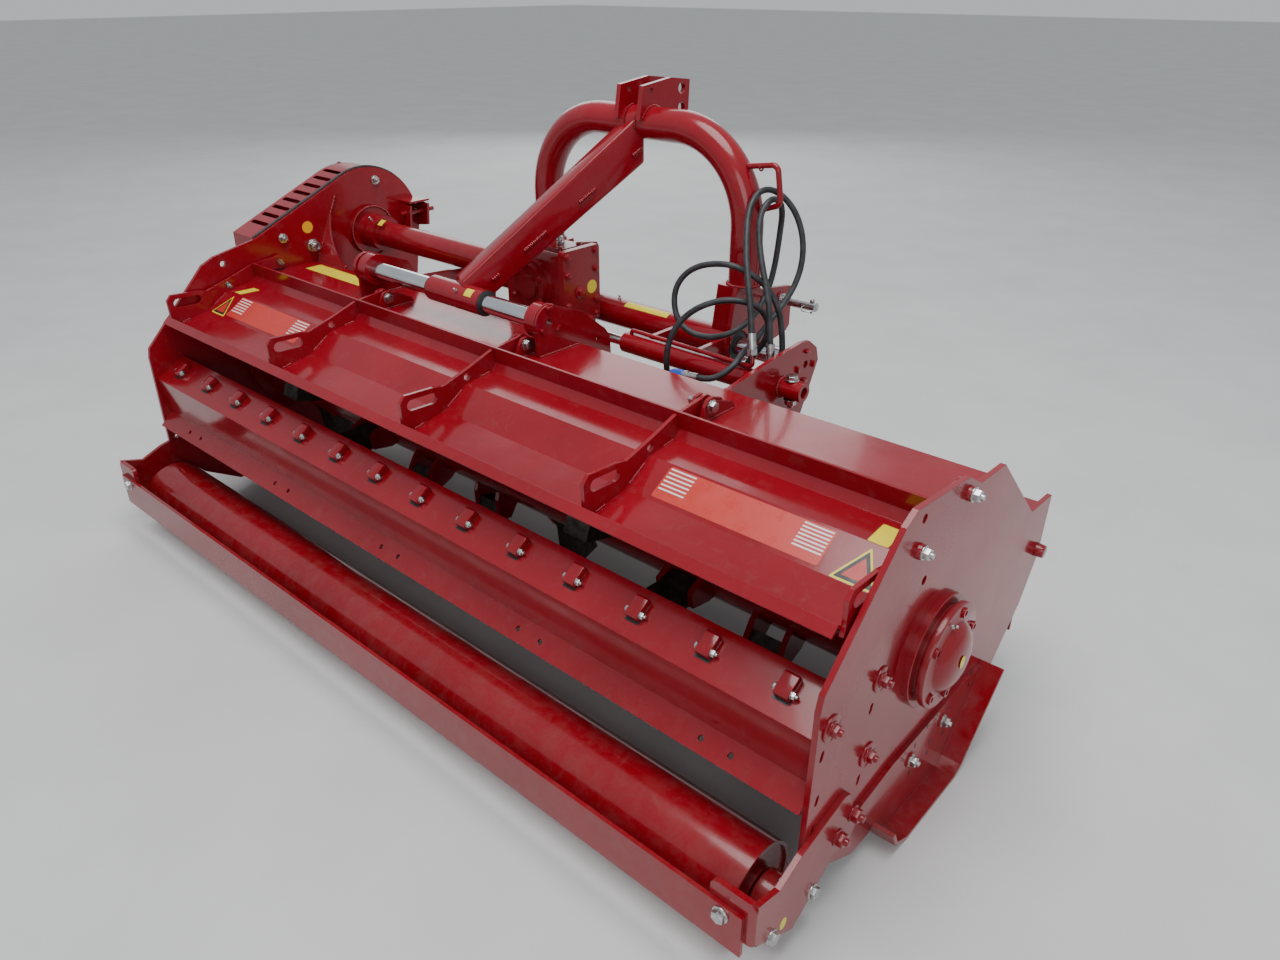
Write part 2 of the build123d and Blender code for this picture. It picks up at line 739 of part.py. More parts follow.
# Side shift cylinder: its rod is held by a fork on the deck, its barrel moves with the headstock
with BuildPart() as cylinder_barrel:
    with BuildSketch(side.offset(barrel_x[0])):
        with Locations((cyl_y, cyl_z)):
            Circle(barrel_r)
            Circle(piston_rod_r + fit, mode=Mode.SUBTRACT)
    extrude(amount=barrel_x[1] - barrel_x[0] - 20)
    with BuildSketch(side.offset(barrel_x[1] - 20)):
        with Locations((cyl_y, cyl_z)):
            Circle(barrel_r)
    extrude(amount=20)
finish(cylinder_barrel.part, "cylinder_barrel")

with BuildPart() as cylinder_rod:
    with BuildSketch(side.offset(eye_x)):
        with Locations((cyl_y, cyl_z)):
            Circle(piston_rod_r)
    extrude(amount=piston_rod_end - eye_x)
    with BuildSketch(level.offset(cyl_z - eye_high / 2)):
        with Locations((eye_x, cyl_y)):
            Circle(eye_r)
    extrude(amount=eye_high)
finish(cylinder_rod.part, "cylinder_rod")

fork_top = cyl_z + eye_high / 2 + 1 + fork_plate
fork_post_y = cyl_y + 20
fork_wide = fork_x[1] - fork_x[0]
with BuildPart() as cylinder_fork:
    for z in (cyl_z - eye_high / 2 - 1 - fork_plate, fork_top - fork_plate):
        with BuildSketch(level.offset(z)):
            with Locations((fork_x[0] + fork_wide / 2, (cyl_y - 24 + fork_post_y) / 2)):
                Rectangle(fork_wide, fork_post_y - cyl_y + 24)
        extrude(amount=fork_plate)
    with BuildSketch(side.offset(fork_x[0])):
        with BuildLine():
            Polyline([on_slope(fork_post_y), on_slope(fork_post_y + fork_plate),
                      (fork_post_y + fork_plate, fork_top), (fork_post_y, fork_top)], close=True)
        make_face()
    extrude(amount=fork_wide)
    with BuildSketch(level.offset(cyl_z - eye_high / 2 - 1 - fork_plate)):
        with Locations((eye_x, cyl_y)):
            Circle(9)
    extrude(amount=fork_plate, mode=Mode.SUBTRACT)
finish(cylinder_fork.part, "cylinder_fork")

barrel_clamps = (120, 262)
with BuildPart() as barrel_brackets:
    for x in barrel_clamps:
        with BuildSketch(side.offset(x)):
            with Locations(((cyl_y + front_rod_y) / 2, 597)):
                Rectangle(front_rod_y - cyl_y - 28, 30)
            with Locations((cyl_y, cyl_z)):
                Circle(barrel_r + seat, mode=Mode.SUBTRACT)
            with Locations((front_rod_y, front_rod_z)):
                Circle(front_sleeve_r + seat, mode=Mode.SUBTRACT)
        extrude(amount=12)
finish(barrel_brackets.part, "barrel_brackets")

# Headstock: two sleeves on the rods, the arch with its feet, the strut and the hitch brackets
for name, (x_from, x_to), y, z, r in (
        ("rear_sleeve", rear_sleeve_x, rear_rod_y, rear_rod_z, rear_sleeve_r),
        ("front_sleeve", front_sleeve_x, front_rod_y, front_rod_z, front_sleeve_r)):
    with BuildPart() as sleeve:
        with BuildSketch(side.offset(x_from)):
            with Locations((y, z)):
                Circle(r)
                Circle(rod_r + fit, mode=Mode.SUBTRACT)
        extrude(amount=x_to - x_from)
    finish(sleeve.part, name)

arch_plane = face.offset(-arch_y)
with BuildPart() as arch:
    with BuildLine(arch_plane) as arch_path:
        FilletPolyline([(arch_x - arch_half, arch_foot), (arch_x - arch_half, arch_top),
                        (arch_x + arch_half, arch_top), (arch_x + arch_half, arch_foot)], radius=arch_bend)
    with BuildSketch(level.offset(arch_foot)):
        with Locations((arch_x - arch_half, arch_y)):
            Circle(arch_r)
            Circle(arch_r - arch_wall, mode=Mode.SUBTRACT)
    sweep()
finish(arch.part, "arch")

for name, hand in (("leg_foot_left", -1), ("leg_foot_right", 1)):
    with BuildPart() as foot:
        with BuildSketch(face.offset(-arch_y - 44)):
            with BuildLine():
                Polyline([(arch_x + hand * (arch_half - 62), front_rod_z), (arch_x + hand * (arch_half - 44), arch_foot),
                          (arch_x + hand * (link_half - link_plate), arch_foot),
                          (arch_x + hand * (link_half - link_plate), front_rod_z)], close=True)
            make_face()
        extrude(amount=88)
        with BuildSketch(side.offset(arch_x - arch_half - 100)):
            with Locations((front_rod_y, front_rod_z)):
                Circle(front_sleeve_r + seat)
        extrude(amount=2 * arch_half + 200, mode=Mode.SUBTRACT)
    finish(foot.part, name)

link_line = [(436, 640), (456, arch_foot), (538, arch_foot), (552, 713), (683, 693), (link_front_y, 680),
             (link_front_y, 590), (676, 578), (560, 560), (500, 545), (440, 560)]
with BuildPart() as link_plates:
    for x in (arch_x - link_half, arch_x + link_half - link_plate):
        with BuildSketch(side.offset(x)):
            with BuildLine():
                Polyline(link_line, close=True)
            make_face()
            with Locations((front_rod_y, front_rod_z)):
                Circle(front_sleeve_r + seat, mode=Mode.SUBTRACT)
            with Locations((pin_y, pin_z)):
                Circle(pin_steps[0][1] + fit, mode=Mode.SUBTRACT)
        extrude(amount=link_plate)
finish(link_plates.part, "link_plates")

for name, hand in (("hitch_pin_left", -1), ("hitch_pin_right", 1)):
    with BuildPart() as pin:
        reach = link_half - pin_steps[0][0]
        for long, r in pin_steps:
            with BuildSketch(side.offset(arch_x + hand * reach)):
                with Locations((pin_y, pin_z)):
                    Circle(r)
            extrude(amount=hand * long)
            reach += long
    finish(pin.part, name)

top_line = [(452, 1078), (465, 1152), (565, 1164), (636, 1156), (632, 1078), (540, arch_top)]
with BuildPart() as top_link_bracket:
    for x in (arch_x - bracket_gap / 2 - bracket_plate, arch_x + bracket_gap / 2):
        with BuildSketch(side.offset(x)):
            with BuildLine():
                Polyline(top_line, close=True)
            make_face()
            with Locations((top_hole_y, 1138), (top_hole_y, 1094)):
                Circle(top_hole_r, mode=Mode.SUBTRACT)
            with Locations((494, 1140)):
                Circle(6, mode=Mode.SUBTRACT)
            with Locations((arch_y, arch_top)):
                Circle(arch_r + seat, mode=Mode.SUBTRACT)
        extrude(amount=bracket_plate)
finish(top_link_bracket.part, "top_link_bracket")

# Strut: a box beam that rises from the rear sleeve to the crown of the arch
strut_foot = (-262, rear_rod_y, rear_rod_z)
strut_head = (arch_x, arch_y, arch_top)
strut_wide = 62
strut_plan = Vector(strut_head[0] - strut_foot[0], strut_head[1] - strut_foot[1], 0)
strut_long = strut_plan.length
strut_side = strut_plan.normalized().cross(Vector(0, 0, 1))
strut_plane = Plane(origin=(x0 + strut_foot[0], y0 + strut_foot[1], 0), x_dir=strut_plan.normalized(),
                    z_dir=strut_side)
with BuildPart() as strut:
    with BuildSketch(strut_plane.offset(-strut_wide / 2)):
        with BuildLine():
            Polyline([(0, strut_foot[2]), (0, 735), (strut_long, 1098), (strut_long, 1010), (60, 716),
                      (44, strut_foot[2])], close=True)
        make_face()
    extrude(amount=strut_wide)
    with BuildSketch(side.offset(rear_sleeve_x[0] - 50)):
        with Locations((rear_rod_y, rear_rod_z)):
            Circle(rear_sleeve_r + seat)
        with Locations((arch_y, arch_top)):
            Circle(arch_r + seat)
        with Locations((arch_y + 60, arch_top)):
            Rectangle(120, 200)
    extrude(amount=700, mode=Mode.SUBTRACT)
finish(strut.part, "strut")

# Hose hook on the right leg
hook_r = 6.5
leg_x = arch_x + arch_half
hook_path = [(leg_x - 18, 1000), (leg_x + 73, 1013), (leg_x + 87, 929), (leg_x + 20, 906)]
hook_corner = 16
bend_centre = (leg_x - arch_bend, arch_top - arch_bend)
with BuildPart() as hose_hook:
    with BuildLine(arch_plane) as hook_line:
        FilletPolyline(hook_path, radius=hook_corner)
    with BuildSketch(Plane(origin=hook_line.line @ 0, z_dir=hook_line.line % 0)):
        Circle(hook_r)
    sweep()
    with BuildSketch(arch_plane.offset(-arch_r)):
        with Locations(bend_centre):
            Circle(arch_bend + arch_r + seat)
    extrude(amount=2 * arch_r, mode=Mode.SUBTRACT)
finish(hose_hook.part, "hose_hook")

# Hose routes from the ferrules: up to the hook, over it, down in front of the arch, back on to the deck's slope
short_route = [
    (421.5, 336, 688.6), (415, 341, 715), (404, 350, 746), (385, 365, 788), (359, 390, 833),
    (337, 418, 875), (321, 443, 911), (314, 467, 938), (315, 494, 955), (329, 521, 956),
    (352, 546, 933), (374, 560, 898), (391, 565, 850), (398, 560, 797), (395, 542, 746),
    (388, 505, 704), (385, 460, 675), (390, 412, 655), (399, 372, 646), (402, 343, 642),
    (409, 317, 637), (412, 292, 626), (403, 271, 611), (387, 256, 599), (366, 250, 592),
    (345, 249, 590)]
long_route = [
    (445.5, 375.7, 658.6), (439, 380, 694), (430, 386, 737), (405, 401, 785), (375, 421, 834),
    (354, 440, 876), (343, 458, 910), (342, 479, 932), (345, 504, 941), (348, 529, 928),
    (345, 543, 900), (340, 547, 866), (338, 545, 826), (336, 541, 785), (333, 533, 745),
    (333, 513, 713), (339, 484, 694), (348, 450, 684), (350, 416, 673), (341, 387, 661),
    (320, 367, 650), (288, 356, 642), (249, 349, 643), (213, 345, 660), (191, 349, 695),
    (187, 356, 735), (202, 366, 769), (232, 377, 793), (272, 388, 805), (315, 400, 807),
    (353, 417, 792), (384, 431, 769), (408, 438, 739), (423, 443, 703), (431, 443, 664),
    (437, 440, 624), (443, 432, 590), (450, 424, 556), (452, 415, 523), (451.5, 409, 492),
    (436.5, 404, 466), (410.5, 400, 451), (380.5, 397, 451), (354.5, 395, 466), (339.5, 395, 492),
    (340.5, 396, 524), (352, 399, 557), (370, 402, 589), (391, 407, 619), (409, 412, 650),
    (416, 412, 682), (411, 403, 710), (398, 384, 735), (370, 362, 745), (338, 339, 745),
    (304, 318, 733), (273, 299, 710), (250, 284, 678), (240, 272, 643), (238, 268, 608),
    (236, 271, 574), (232, 285, 547), (229, 306, 529), (229, 320, 519.5)]


def run_between(start, end):
    """Direction from one point to the next."""
    return (Vector(*end) - Vector(*start)).normalized()


# Oil pipe along the barrel and the elbow at its end; nuts and ferrules lean along each hose's first run
pipe_r = 5
pipe_z = cyl_z + barrel_r + 9
fitting_long = nut_long + ferrule_long
elbow_rise = 18
leans = []
for route in (short_route, long_route):
    lean = run_between(route[0], route[1])
    leans.append((Vector(*route[0]) - lean * fitting_long, lean))
(root_a, lean_a), (root_b, lean_b) = leans
pipe_rise = (root_a.Z - pipe_z) / lean_a.Z
with BuildPart() as barrel_pipe:
    with BuildLine(level) as pipe_line:
        FilletPolyline([(barrel_x[0] + 18, cyl_y, cyl_z + barrel_r - 3), (barrel_x[0] + 18, cyl_y, pipe_z),
                        tuple(root_a - lean_a * pipe_rise), tuple(root_a)], radius=8)
    with BuildSketch(Plane(origin=pipe_line.line @ 0, z_dir=pipe_line.line % 0)):
        Circle(pipe_r)
    sweep()
    with BuildLine(level) as elbow_line:
        FilletPolyline([(*elbow_foot, cyl_z + 4), tuple(root_b - lean_b * elbow_rise), tuple(root_b)], radius=9)
    with BuildSketch(Plane(origin=elbow_line.line @ 0, z_dir=elbow_line.line % 0)):
        Circle(pipe_r + 2)
    sweep()
    with BuildSketch(side.offset(barrel_x[0])):
        with Locations((cyl_y, cyl_z)):
            Circle(barrel_r)
    extrude(amount=barrel_x[1] - barrel_x[0], mode=Mode.SUBTRACT)
finish(barrel_pipe.part, "barrel_pipe")

with BuildPart() as hose_fittings:
    for root, lean in leans:
        nut_plane = Plane(origin=root + Vector(x0, y0, 0), z_dir=lean)
        with BuildSketch(nut_plane):
            RegularPolygon(nut_r, 6)
        extrude(amount=nut_long)
        with BuildSketch(nut_plane.offset(nut_long)):
            Circle(ferrule_r)
        extrude(amount=ferrule_long)
finish(hose_fittings.part, "hose_fittings")


def bend_radii(points):
    """Largest arcs that the runs beside each corner leave room for."""
    radii = []
    for before, corner, after in zip(points, points[1:], points[2:]):
        run_in = Vector(*corner) - Vector(*before)
        run_out = Vector(*after) - Vector(*corner)
        half_turn = radians(run_in.get_angle(run_out) / 2)
        radii.append(0.45 * min(run_in.length, run_out.length) / tan(half_turn))
    return radii


for name, route in (("hose_short", short_route), ("hose_long", long_route)):
    radii = bend_radii(route)
    with BuildPart() as hose:
        with BuildLine(level) as centre:
            FilletPolyline(route, radius=radii)
        with BuildSketch(Plane(origin=centre.line @ 0, z_dir=centre.line % 0)):
            Circle(hose_r)
        sweep()
    finish(hose.part, name)
    length = sum(edge.length for edge in centre.edges())
    print(name, "length", round(length), "volume against section times length",
          round(hose.part.volume / (pi * hose_r**2 * length), 4), "radii", [round(r) for r in radii])

# Couplings on the free ends: ferrule, collar and dust cap in line with the hose's last run
coupling_profile = [(0, 0), (ferrule_r, 0), (ferrule_r, 26), (nut_r, 26), (nut_r, 36), (0, 36)]
cap_profile = [(0, 36), (plug_cap_r - 2, 36), (plug_cap_r, 40), (plug_cap_r, 66), (plug_cap_r - 4, 76), (0, 76)]
for number, route in ((1, short_route), (2, long_route)):
    run = run_between(route[-2], route[-1])
    across = run.cross(Vector(0, 0, 1)).normalized()
    profile_plane = Plane(origin=Vector(*route[-1]) + Vector(x0, y0, 0), x_dir=across, z_dir=across.cross(run))
    for name, profile in ((f"hose_coupling_{number}", coupling_profile), (f"coupling_cap_{number}", cap_profile)):
        with BuildPart() as piece:
            with BuildSketch(profile_plane):
                with BuildLine():
                    Polyline(profile, close=True)
                make_face()
            revolve(axis=Axis(profile_plane.origin, run))
        finish(piece.part, name)
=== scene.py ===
# %% [markdown]
# # Rear flail mulcher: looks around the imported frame
# The CAD model gives the machine's exact plates, tubes and joints. This lesson paints them and adds what a
# CAD drawing leaves out: bolts, nuts, welds, stickers, hoses, caps and dirt. The frame is loaded first, so
# that every new piece can ride on one of its bodies.

from math import atan2, cos, degrees, hypot, pi, radians, sin

import bmesh
import bpy
from mathutils import Matrix, Vector


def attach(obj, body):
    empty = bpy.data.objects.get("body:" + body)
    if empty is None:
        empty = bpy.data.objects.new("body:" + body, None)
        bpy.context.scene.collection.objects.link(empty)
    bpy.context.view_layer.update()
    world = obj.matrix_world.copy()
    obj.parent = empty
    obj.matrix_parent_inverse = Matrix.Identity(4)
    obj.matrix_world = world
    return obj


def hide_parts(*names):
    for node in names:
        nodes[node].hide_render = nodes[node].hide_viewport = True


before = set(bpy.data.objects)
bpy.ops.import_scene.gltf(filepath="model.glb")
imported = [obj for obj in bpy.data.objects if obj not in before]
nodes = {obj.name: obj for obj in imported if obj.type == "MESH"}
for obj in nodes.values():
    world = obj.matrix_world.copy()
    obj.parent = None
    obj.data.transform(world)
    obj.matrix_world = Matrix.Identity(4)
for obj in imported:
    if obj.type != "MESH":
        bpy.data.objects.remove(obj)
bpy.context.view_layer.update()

# %% [markdown]
# ## Places
# The drawing counts millimetres from the rotor's axis, the ground and the middle of the housing, and the
# frame counts metres from the middle of its footprint. One function turns the first into the second, and another
# puts a new object into the scene.

# %% A drawing's millimetres to the frame's metres
SHIFT_X, SHIFT_Y = 28.5, -85.0


def at(x, y, z):
    return Vector(((x + SHIFT_X) / 1000, (y + SHIFT_Y) / 1000, z / 1000))


def add_object(name, data):
    made = bpy.data.objects.new(name, data)
    bpy.context.scene.collection.objects.link(made)
    return made


print("rotor axis lies at", [round(v, 4) for v in at(0, 0, 360)])

# %% [markdown]
# ## Camera
# The photograph was taken from above the right rear corner with a wide lens. The camera is the first thing
# made, because the cords are measured against its view.

# %% Camera at the photograph's viewing angle
LOOK_DOWN, LOOK_ROUND = 28.1, 41.448  # degrees
camera_data = bpy.data.cameras.new("camera")
camera_data.sensor_width = 36
camera_data.lens = 26.505
camera_data.clip_end = 200
camera = add_object("camera", camera_data)
camera.location = (1.5673, -1.3818, 1.3741)
camera.rotation_euler = (radians(90 - LOOK_DOWN), 0, radians(LOOK_ROUND))
bpy.context.scene.camera = camera
print("camera looks down by", LOOK_DOWN, "degrees, lens", camera_data.lens, "mm")

# %% [markdown]
# ## Light and floor
# An overcast sky lights the real machine: soft from all sides, a little stronger from above. An image of a sky
# would bring reflections of its own, so a pale world and three large round lamps do the same. One hangs
# overhead, one behind the camera opens the shadows, and one far behind the machine gives its level sheets the
# sheen of the low sky. The floor is one plain pale sheet.

# %% World and lamps
world = bpy.data.worlds.new("studio")
bpy.context.scene.world = world
world.use_nodes = True
sky = world.node_tree.nodes["Background"]
sky.inputs["Color"].default_value = (0.86, 0.9, 0.95, 1)
sky.inputs["Strength"].default_value = 0.62


def soft_lamp(name, place, target, size, power):
    data = bpy.data.lights.new(name, "AREA")
    data.shape = "DISK"
    data.size = size
    data.energy = power
    lamp = add_object(name, data)
    lamp.location = place
    lamp.rotation_euler = (Vector(target) - Vector(place)).to_track_quat("-Z", "Y").to_euler()
    print(name, power, "W,", size, "m wide")


soft_lamp("sky_lamp", (0.6, -0.5, 4.6), (0, 0, 0.4), 3.2, 170)
soft_lamp("front_lamp", (3.4, -3.6, 2.6), (0, 0, 0.4), 3.0, 55)
soft_lamp("back_lamp", (-4.4, 4.9, 3.4), (0, 0, 0.5), 5.2, 115)

# %% Floor
FLOOR_HALF = 40
bm = bmesh.new()
bmesh.ops.create_grid(bm, x_segments=1, y_segments=1, size=FLOOR_HALF)
floor_mesh = bpy.data.meshes.new("floor")
bm.to_mesh(floor_mesh)
bm.free()
floor = add_object("floor", floor_mesh)
print("floor is", 2 * FLOOR_HALF, "m wide")

# %% [markdown]
# ## Materials
# Each finish is a Principled shader whose colour, roughness and relief come from noise on Object coordinates.
# A small kit of helpers keeps that readable: one makes the material, one adds a noise, one maps a noise to a
# range, one mixes two colours by a mask.


# %% Shader helpers
class Finish:
    """One material and the node tree that it is built in."""

    def __init__(self, name):
        self.material = bpy.data.materials.new(name)
        self.material.use_nodes = True
        self.tree = self.material.node_tree
        self.shader = self.tree.nodes["Principled BSDF"]
        self.place = self.node("TexCoord").outputs["Object"]

    def give(self, socket, value):
        """A number, a colour or another node's output for one socket."""
        if isinstance(value, bpy.types.NodeSocket):
            self.tree.links.new(value, socket)
        else:
            socket.default_value = (*value, 1) if socket.type == "RGBA" else value

    def node(self, kind, inputs=(), **options):
        made = self.tree.nodes.new("ShaderNode" + kind)
        for option, value in options.items():
            setattr(made, option, value)
        for socket, value in dict(inputs).items():
            self.give(made.inputs[socket], value)
        return made

    def noise(self, scale, detail=4.0, rough=0.55, stretch=(1, 1, 1), warp=0.0):
        place = self.node("Mapping", {"Scale": stretch, "Vector": self.place}).outputs["Vector"]
        return self.node("TexNoise", {"Scale": scale, "Detail": detail, "Roughness": rough,
                                      "Distortion": warp, "Vector": place}).outputs["Fac"]

    def spread(self, value, low, high, to_low=0.0, to_high=1.0):
        return self.node("MapRange", {"Value": value, "From Min": low, "From Max": high, "To Min": to_low,
                                      "To Max": to_high}).outputs["Result"]

    def times(self, a, b):
        return self.node("Math", {0: a, 1: b}, operation="MULTIPLY").outputs["Value"]

    def mix(self, mask, first, second):
        return self.node("Mix", {"Factor": mask, "A": first, "B": second}, data_type="RGBA").outputs["Result"]

    def height(self):
        """Height above the ground, in metres, for dirt that is thrown up from below."""
        return self.node("SeparateXYZ", {"Vector": self.place}).outputs["Z"]

    def relief(self, value, strength, depth):
        inputs = {"Strength": strength, "Distance": depth, "Height": value}
        before = self.shader.inputs["Normal"].links
        if before:
            inputs["Normal"] = before[0].from_socket
        self.set(Normal=self.node("Bump", inputs).outputs["Normal"])

    def round_edges(self, radius):
        self.set(Normal=self.node("Bevel", {"Radius": radius}, samples=4).outputs["Normal"])

    def set(self, **values):
        for name, value in values.items():
            self.give(self.shader.inputs[name.replace("_", " ")], value)


print("shader helpers ready")

# %% [markdown]
# ### Red paint
# The machine is dipped and sprayed in one deep red gloss. Real gloss is never even: its tone drifts over a
# plate, it has the fine waves called orange peel, dust dulls it in patches, and mud spots it near the
# ground. The edges of the plates catch the light, so a Bevel node rounds them in the shading.


# %% Red gloss paint
def red_paint(name, deep, bright, dust, gloss, mud=0.0):
    paint = Finish(name)
    paint.round_edges(0.0016)
    tone = paint.spread(paint.noise(3.1, 5, 0.6), 0.35, 0.7)
    base = paint.mix(tone, deep, bright)
    specks = paint.spread(paint.noise(38, 6, 0.7, warp=0.4), 0.54, 0.75)
    film = paint.spread(paint.noise(5.5, 6, 0.65), 0.46, 0.8, 0, dust)
    base = paint.mix(film, base, (0.34, 0.09, 0.09))
    base = paint.mix(paint.times(specks, 0.16), base, (0.2, 0.1, 0.09))
    if mud:
        low = paint.spread(paint.height(), 0.02, 0.42, mud, 0)
        splash = paint.spread(paint.noise(22, 8, 0.72, warp=0.6), 0.44, 0.62)
        base = paint.mix(paint.times(low, splash), base, (0.2, 0.15, 0.12))
    sheen = paint.spread(paint.noise(9, 5, 0.6), 0.3, 0.75, gloss, gloss + 0.16)
    paint.set(Base_Color=base, Roughness=sheen, Coat_Weight=0.2, Coat_Roughness=0.06, IOR=1.42)
    paint.relief(paint.noise(150, 2, 0.5), 0.08, 0.0006)
    paint.relief(paint.noise(14, 3, 0.5), 0.05, 0.003)
    return paint.material


PAINT = red_paint("red_gloss", (0.215, 0.003, 0.009), (0.28, 0.005, 0.014), dust=0.06, gloss=0.1)
PAINT_LOW = red_paint("red_gloss_low", (0.21, 0.003, 0.008), (0.27, 0.005, 0.013), dust=0.05, mud=0.14,
                      gloss=0.1)
PAINT_CAST = red_paint("red_on_casting", (0.21, 0.003, 0.008), (0.26, 0.005, 0.013), dust=0.08, gloss=0.16)
print("three red paints")

# %% [markdown]
# ### Metals, rubber and plastic
# The slide rods are hard chrome, bright and faintly brushed along their length. Bolts, pins and fittings are
# zinc plated: duller, with cloudy patches. Rubber and hoses are near black with a grey bloom. Caps on the
# loose couplings are blue plastic. Noise gives each its clouds, stretched where the metal has a grain.


# %% Bare metals
def bare_metal(name, dark, light, low, high, grain=(1, 1, 1), scale=60, wear=0.25):
    metal = Finish(name)
    metal.round_edges(0.0008)
    clouds = metal.spread(metal.noise(scale, 5, 0.65, stretch=grain), 0.35, 0.7)
    stain = metal.spread(metal.noise(scale * 0.35, 4, 0.6), 0.5, 0.8, 0, wear)
    tone = metal.mix(stain, metal.mix(clouds, dark, light), (0.16, 0.14, 0.11))
    sheen = metal.spread(metal.noise(scale * 1.7, 4, 0.6, stretch=grain), 0.3, 0.75, low, high)
    metal.set(Base_Color=tone, Roughness=sheen, Metallic=1.0)
    metal.relief(metal.noise(scale * 4, 3, 0.6, stretch=grain), 0.12, 0.0004)
    return metal.material


CHROME = bare_metal("rod_chrome", (0.62, 0.63, 0.65), (0.8, 0.81, 0.83), 0.08, 0.24, (0.12, 1, 1), 40, 0.18)
ZINC = bare_metal("zinc", (0.40, 0.40, 0.40), (0.64, 0.64, 0.63), 0.2, 0.42, scale=90)
SHAFT = bare_metal("machined_steel", (0.42, 0.41, 0.4), (0.6, 0.59, 0.58), 0.22, 0.45, scale=120)
FLAIL = bare_metal("forged_steel", (0.05, 0.045, 0.04), (0.13, 0.11, 0.1), 0.5, 0.8, scale=50)


# %% Rubber and plastic
def matte(name, dark, light, low, high, scale, relief=0.2, depth=0.0006):
    skin = Finish(name)
    skin.round_edges(0.0008)
    bloom = skin.spread(skin.noise(scale, 6, 0.65), 0.38, 0.72)
    sheen = skin.spread(skin.noise(scale * 2, 4, 0.6), 0.3, 0.7, low, high)
    skin.set(Base_Color=skin.mix(bloom, dark, light), Roughness=sheen)
    skin.relief(skin.noise(scale * 6, 3, 0.6), relief, depth)
    return skin.material


RUBBER = matte("black_rubber", (0.012, 0.012, 0.013), (0.05, 0.05, 0.052), 0.5, 0.8, 30)
HOSE = matte("hose_rubber", (0.014, 0.015, 0.017), (0.05, 0.052, 0.056), 0.38, 0.62, 45, 0.35, 0.0004)
BLUE = matte("blue_plastic", (0.012, 0.07, 0.42), (0.025, 0.11, 0.55), 0.3, 0.5, 60)
print("metals, rubber and plastic")

# %% [markdown]
# ### Floor finish
# The floor is pale and matte, so that it shows the machine's shadow and no reflection. Its tone drifts a little,
# which keeps it from looking like empty space.

# %% Floor finish
ground = Finish("floor_paper")
drift = ground.spread(ground.noise(2.5, 4, 0.6), 0.3, 0.7)
ground.set(Base_Color=ground.mix(drift, (0.60, 0.60, 0.59), (0.66, 0.66, 0.65)), Roughness=0.9)
floor_mesh.materials.append(ground.material)
print(ground.material.name)

# %% [markdown]
# ## Painting the CAD nodes
# A node whose shape is right keeps its mesh and only gets a finish. The low parts get the muddy paint. A table
# from names to finishes says it all, and what it leaves out is plain red.

# %% A finish for every node
FINISH_OF = {
    "rear_rod": CHROME, "front_rod": CHROME, "cylinder_rod": CHROME, "hitch_pin_left": ZINC,
    "hitch_pin_right": ZINC, "input_shaft": SHAFT, "hinge_pins": ZINC, "flap_rod": ZINC, "belt_trim": RUBBER,
    "flails": FLAIL, "hose_fittings": ZINC, "hose_short": HOSE, "hose_long": HOSE, "hose_coupling_1": ZINC,
    "hose_coupling_2": ZINC, "coupling_cap_1": BLUE, "coupling_cap_2": BLUE, "gearbox": PAINT_CAST,
    "rotor_bearing_right": PAINT_CAST,
}
LOW_NODES = ("skid_right", "skid_left", "roller", "roller_arm_right", "roller_arm_left", "rear_bar",
             "front_flaps", "rotor", "rake_beam", "rake_tines")
for name, node in nodes.items():
    paint = FINISH_OF.get(name, PAINT_LOW if name in LOW_NODES else PAINT)
    node.data.materials.clear()
    node.data.materials.append(paint)
print(len(nodes), "nodes painted")

# %% [markdown]
# ## New pieces
# Each new piece is built in a bmesh, straight at its place on the machine, so that its object can sit at the
# origin as a CAD node's does. One function hands it over: it smooths it, gives it its finish and lets it ride
# on a body.


def hand_over(bm, name, body, material, smooth_below=35):
    bmesh.ops.recalc_face_normals(bm, faces=bm.faces)
    mesh = bpy.data.meshes.new(name)
    bm.to_mesh(mesh)
    bm.free()
    for polygon in mesh.polygons:
        polygon.use_smooth = True
    mesh.set_sharp_from_angle(angle=radians(smooth_below))
    mesh.materials.append(material)
    piece = add_object(name, mesh)
    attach(piece, body)
    print(name, len(mesh.polygons), "faces")
    return piece


print("new pieces can be handed over")

# %% [markdown]
# ### Bolts and nuts
# A hexagon head is a six-sided drum whose top edge is chamfered. A washer is a flat disc, and the end of the
# shank stands out of a nut. Threads would be lost at this size, so drums with a bevelled rim are enough. They
# are made along any direction, so that a short table can place them all.


# %% One bolt head or nut
def stand(place, direction):
    """Matrix that turns +Z to the direction and moves the origin to the place."""
    turn = Vector(direction).to_track_quat("Z", "Y").to_matrix().to_4x4()
    return Matrix.Translation(place) @ turn


def round_off(bm, edges, offset, segments=2):
    """Bevels these edges by an offset in metres."""
    bmesh.ops.bevel(bm, geom=list(edges), offset=offset, segments=segments, profile=0.5, affect="EDGES",
                    material=-1)


def add_drum(bm, matrix, r_low, r_high, start, end, sides=24, chamfer=0.0):
    """A closed drum along the matrix's z axis, from start to end, in metres."""
    middle = matrix @ Matrix.Translation((0, 0, (start + end) / 2))
    made = bmesh.ops.create_cone(bm, cap_ends=True, cap_tris=False, segments=sides, radius1=r_low,
                                 radius2=r_high, depth=end - start, matrix=middle)
    if chamfer:
        inverse = matrix.inverted()
        top = [v for v in made["verts"] if (inverse @ v.co).z > end - 1e-5]
        round_off(bm, {e for v in top for e in v.link_edges if all(w in top for w in e.verts)}, chamfer)
    return made


# shares of the shank's diameter
WASHER_R, WASHER_HIGH = 1.12, 0.16
HEX_R, HEAD_HIGH, NUT_HIGH = 0.93, 0.64, 0.85
STUD_R, STUD_END_R, STUD_OUT = 0.48, 0.44, 0.5


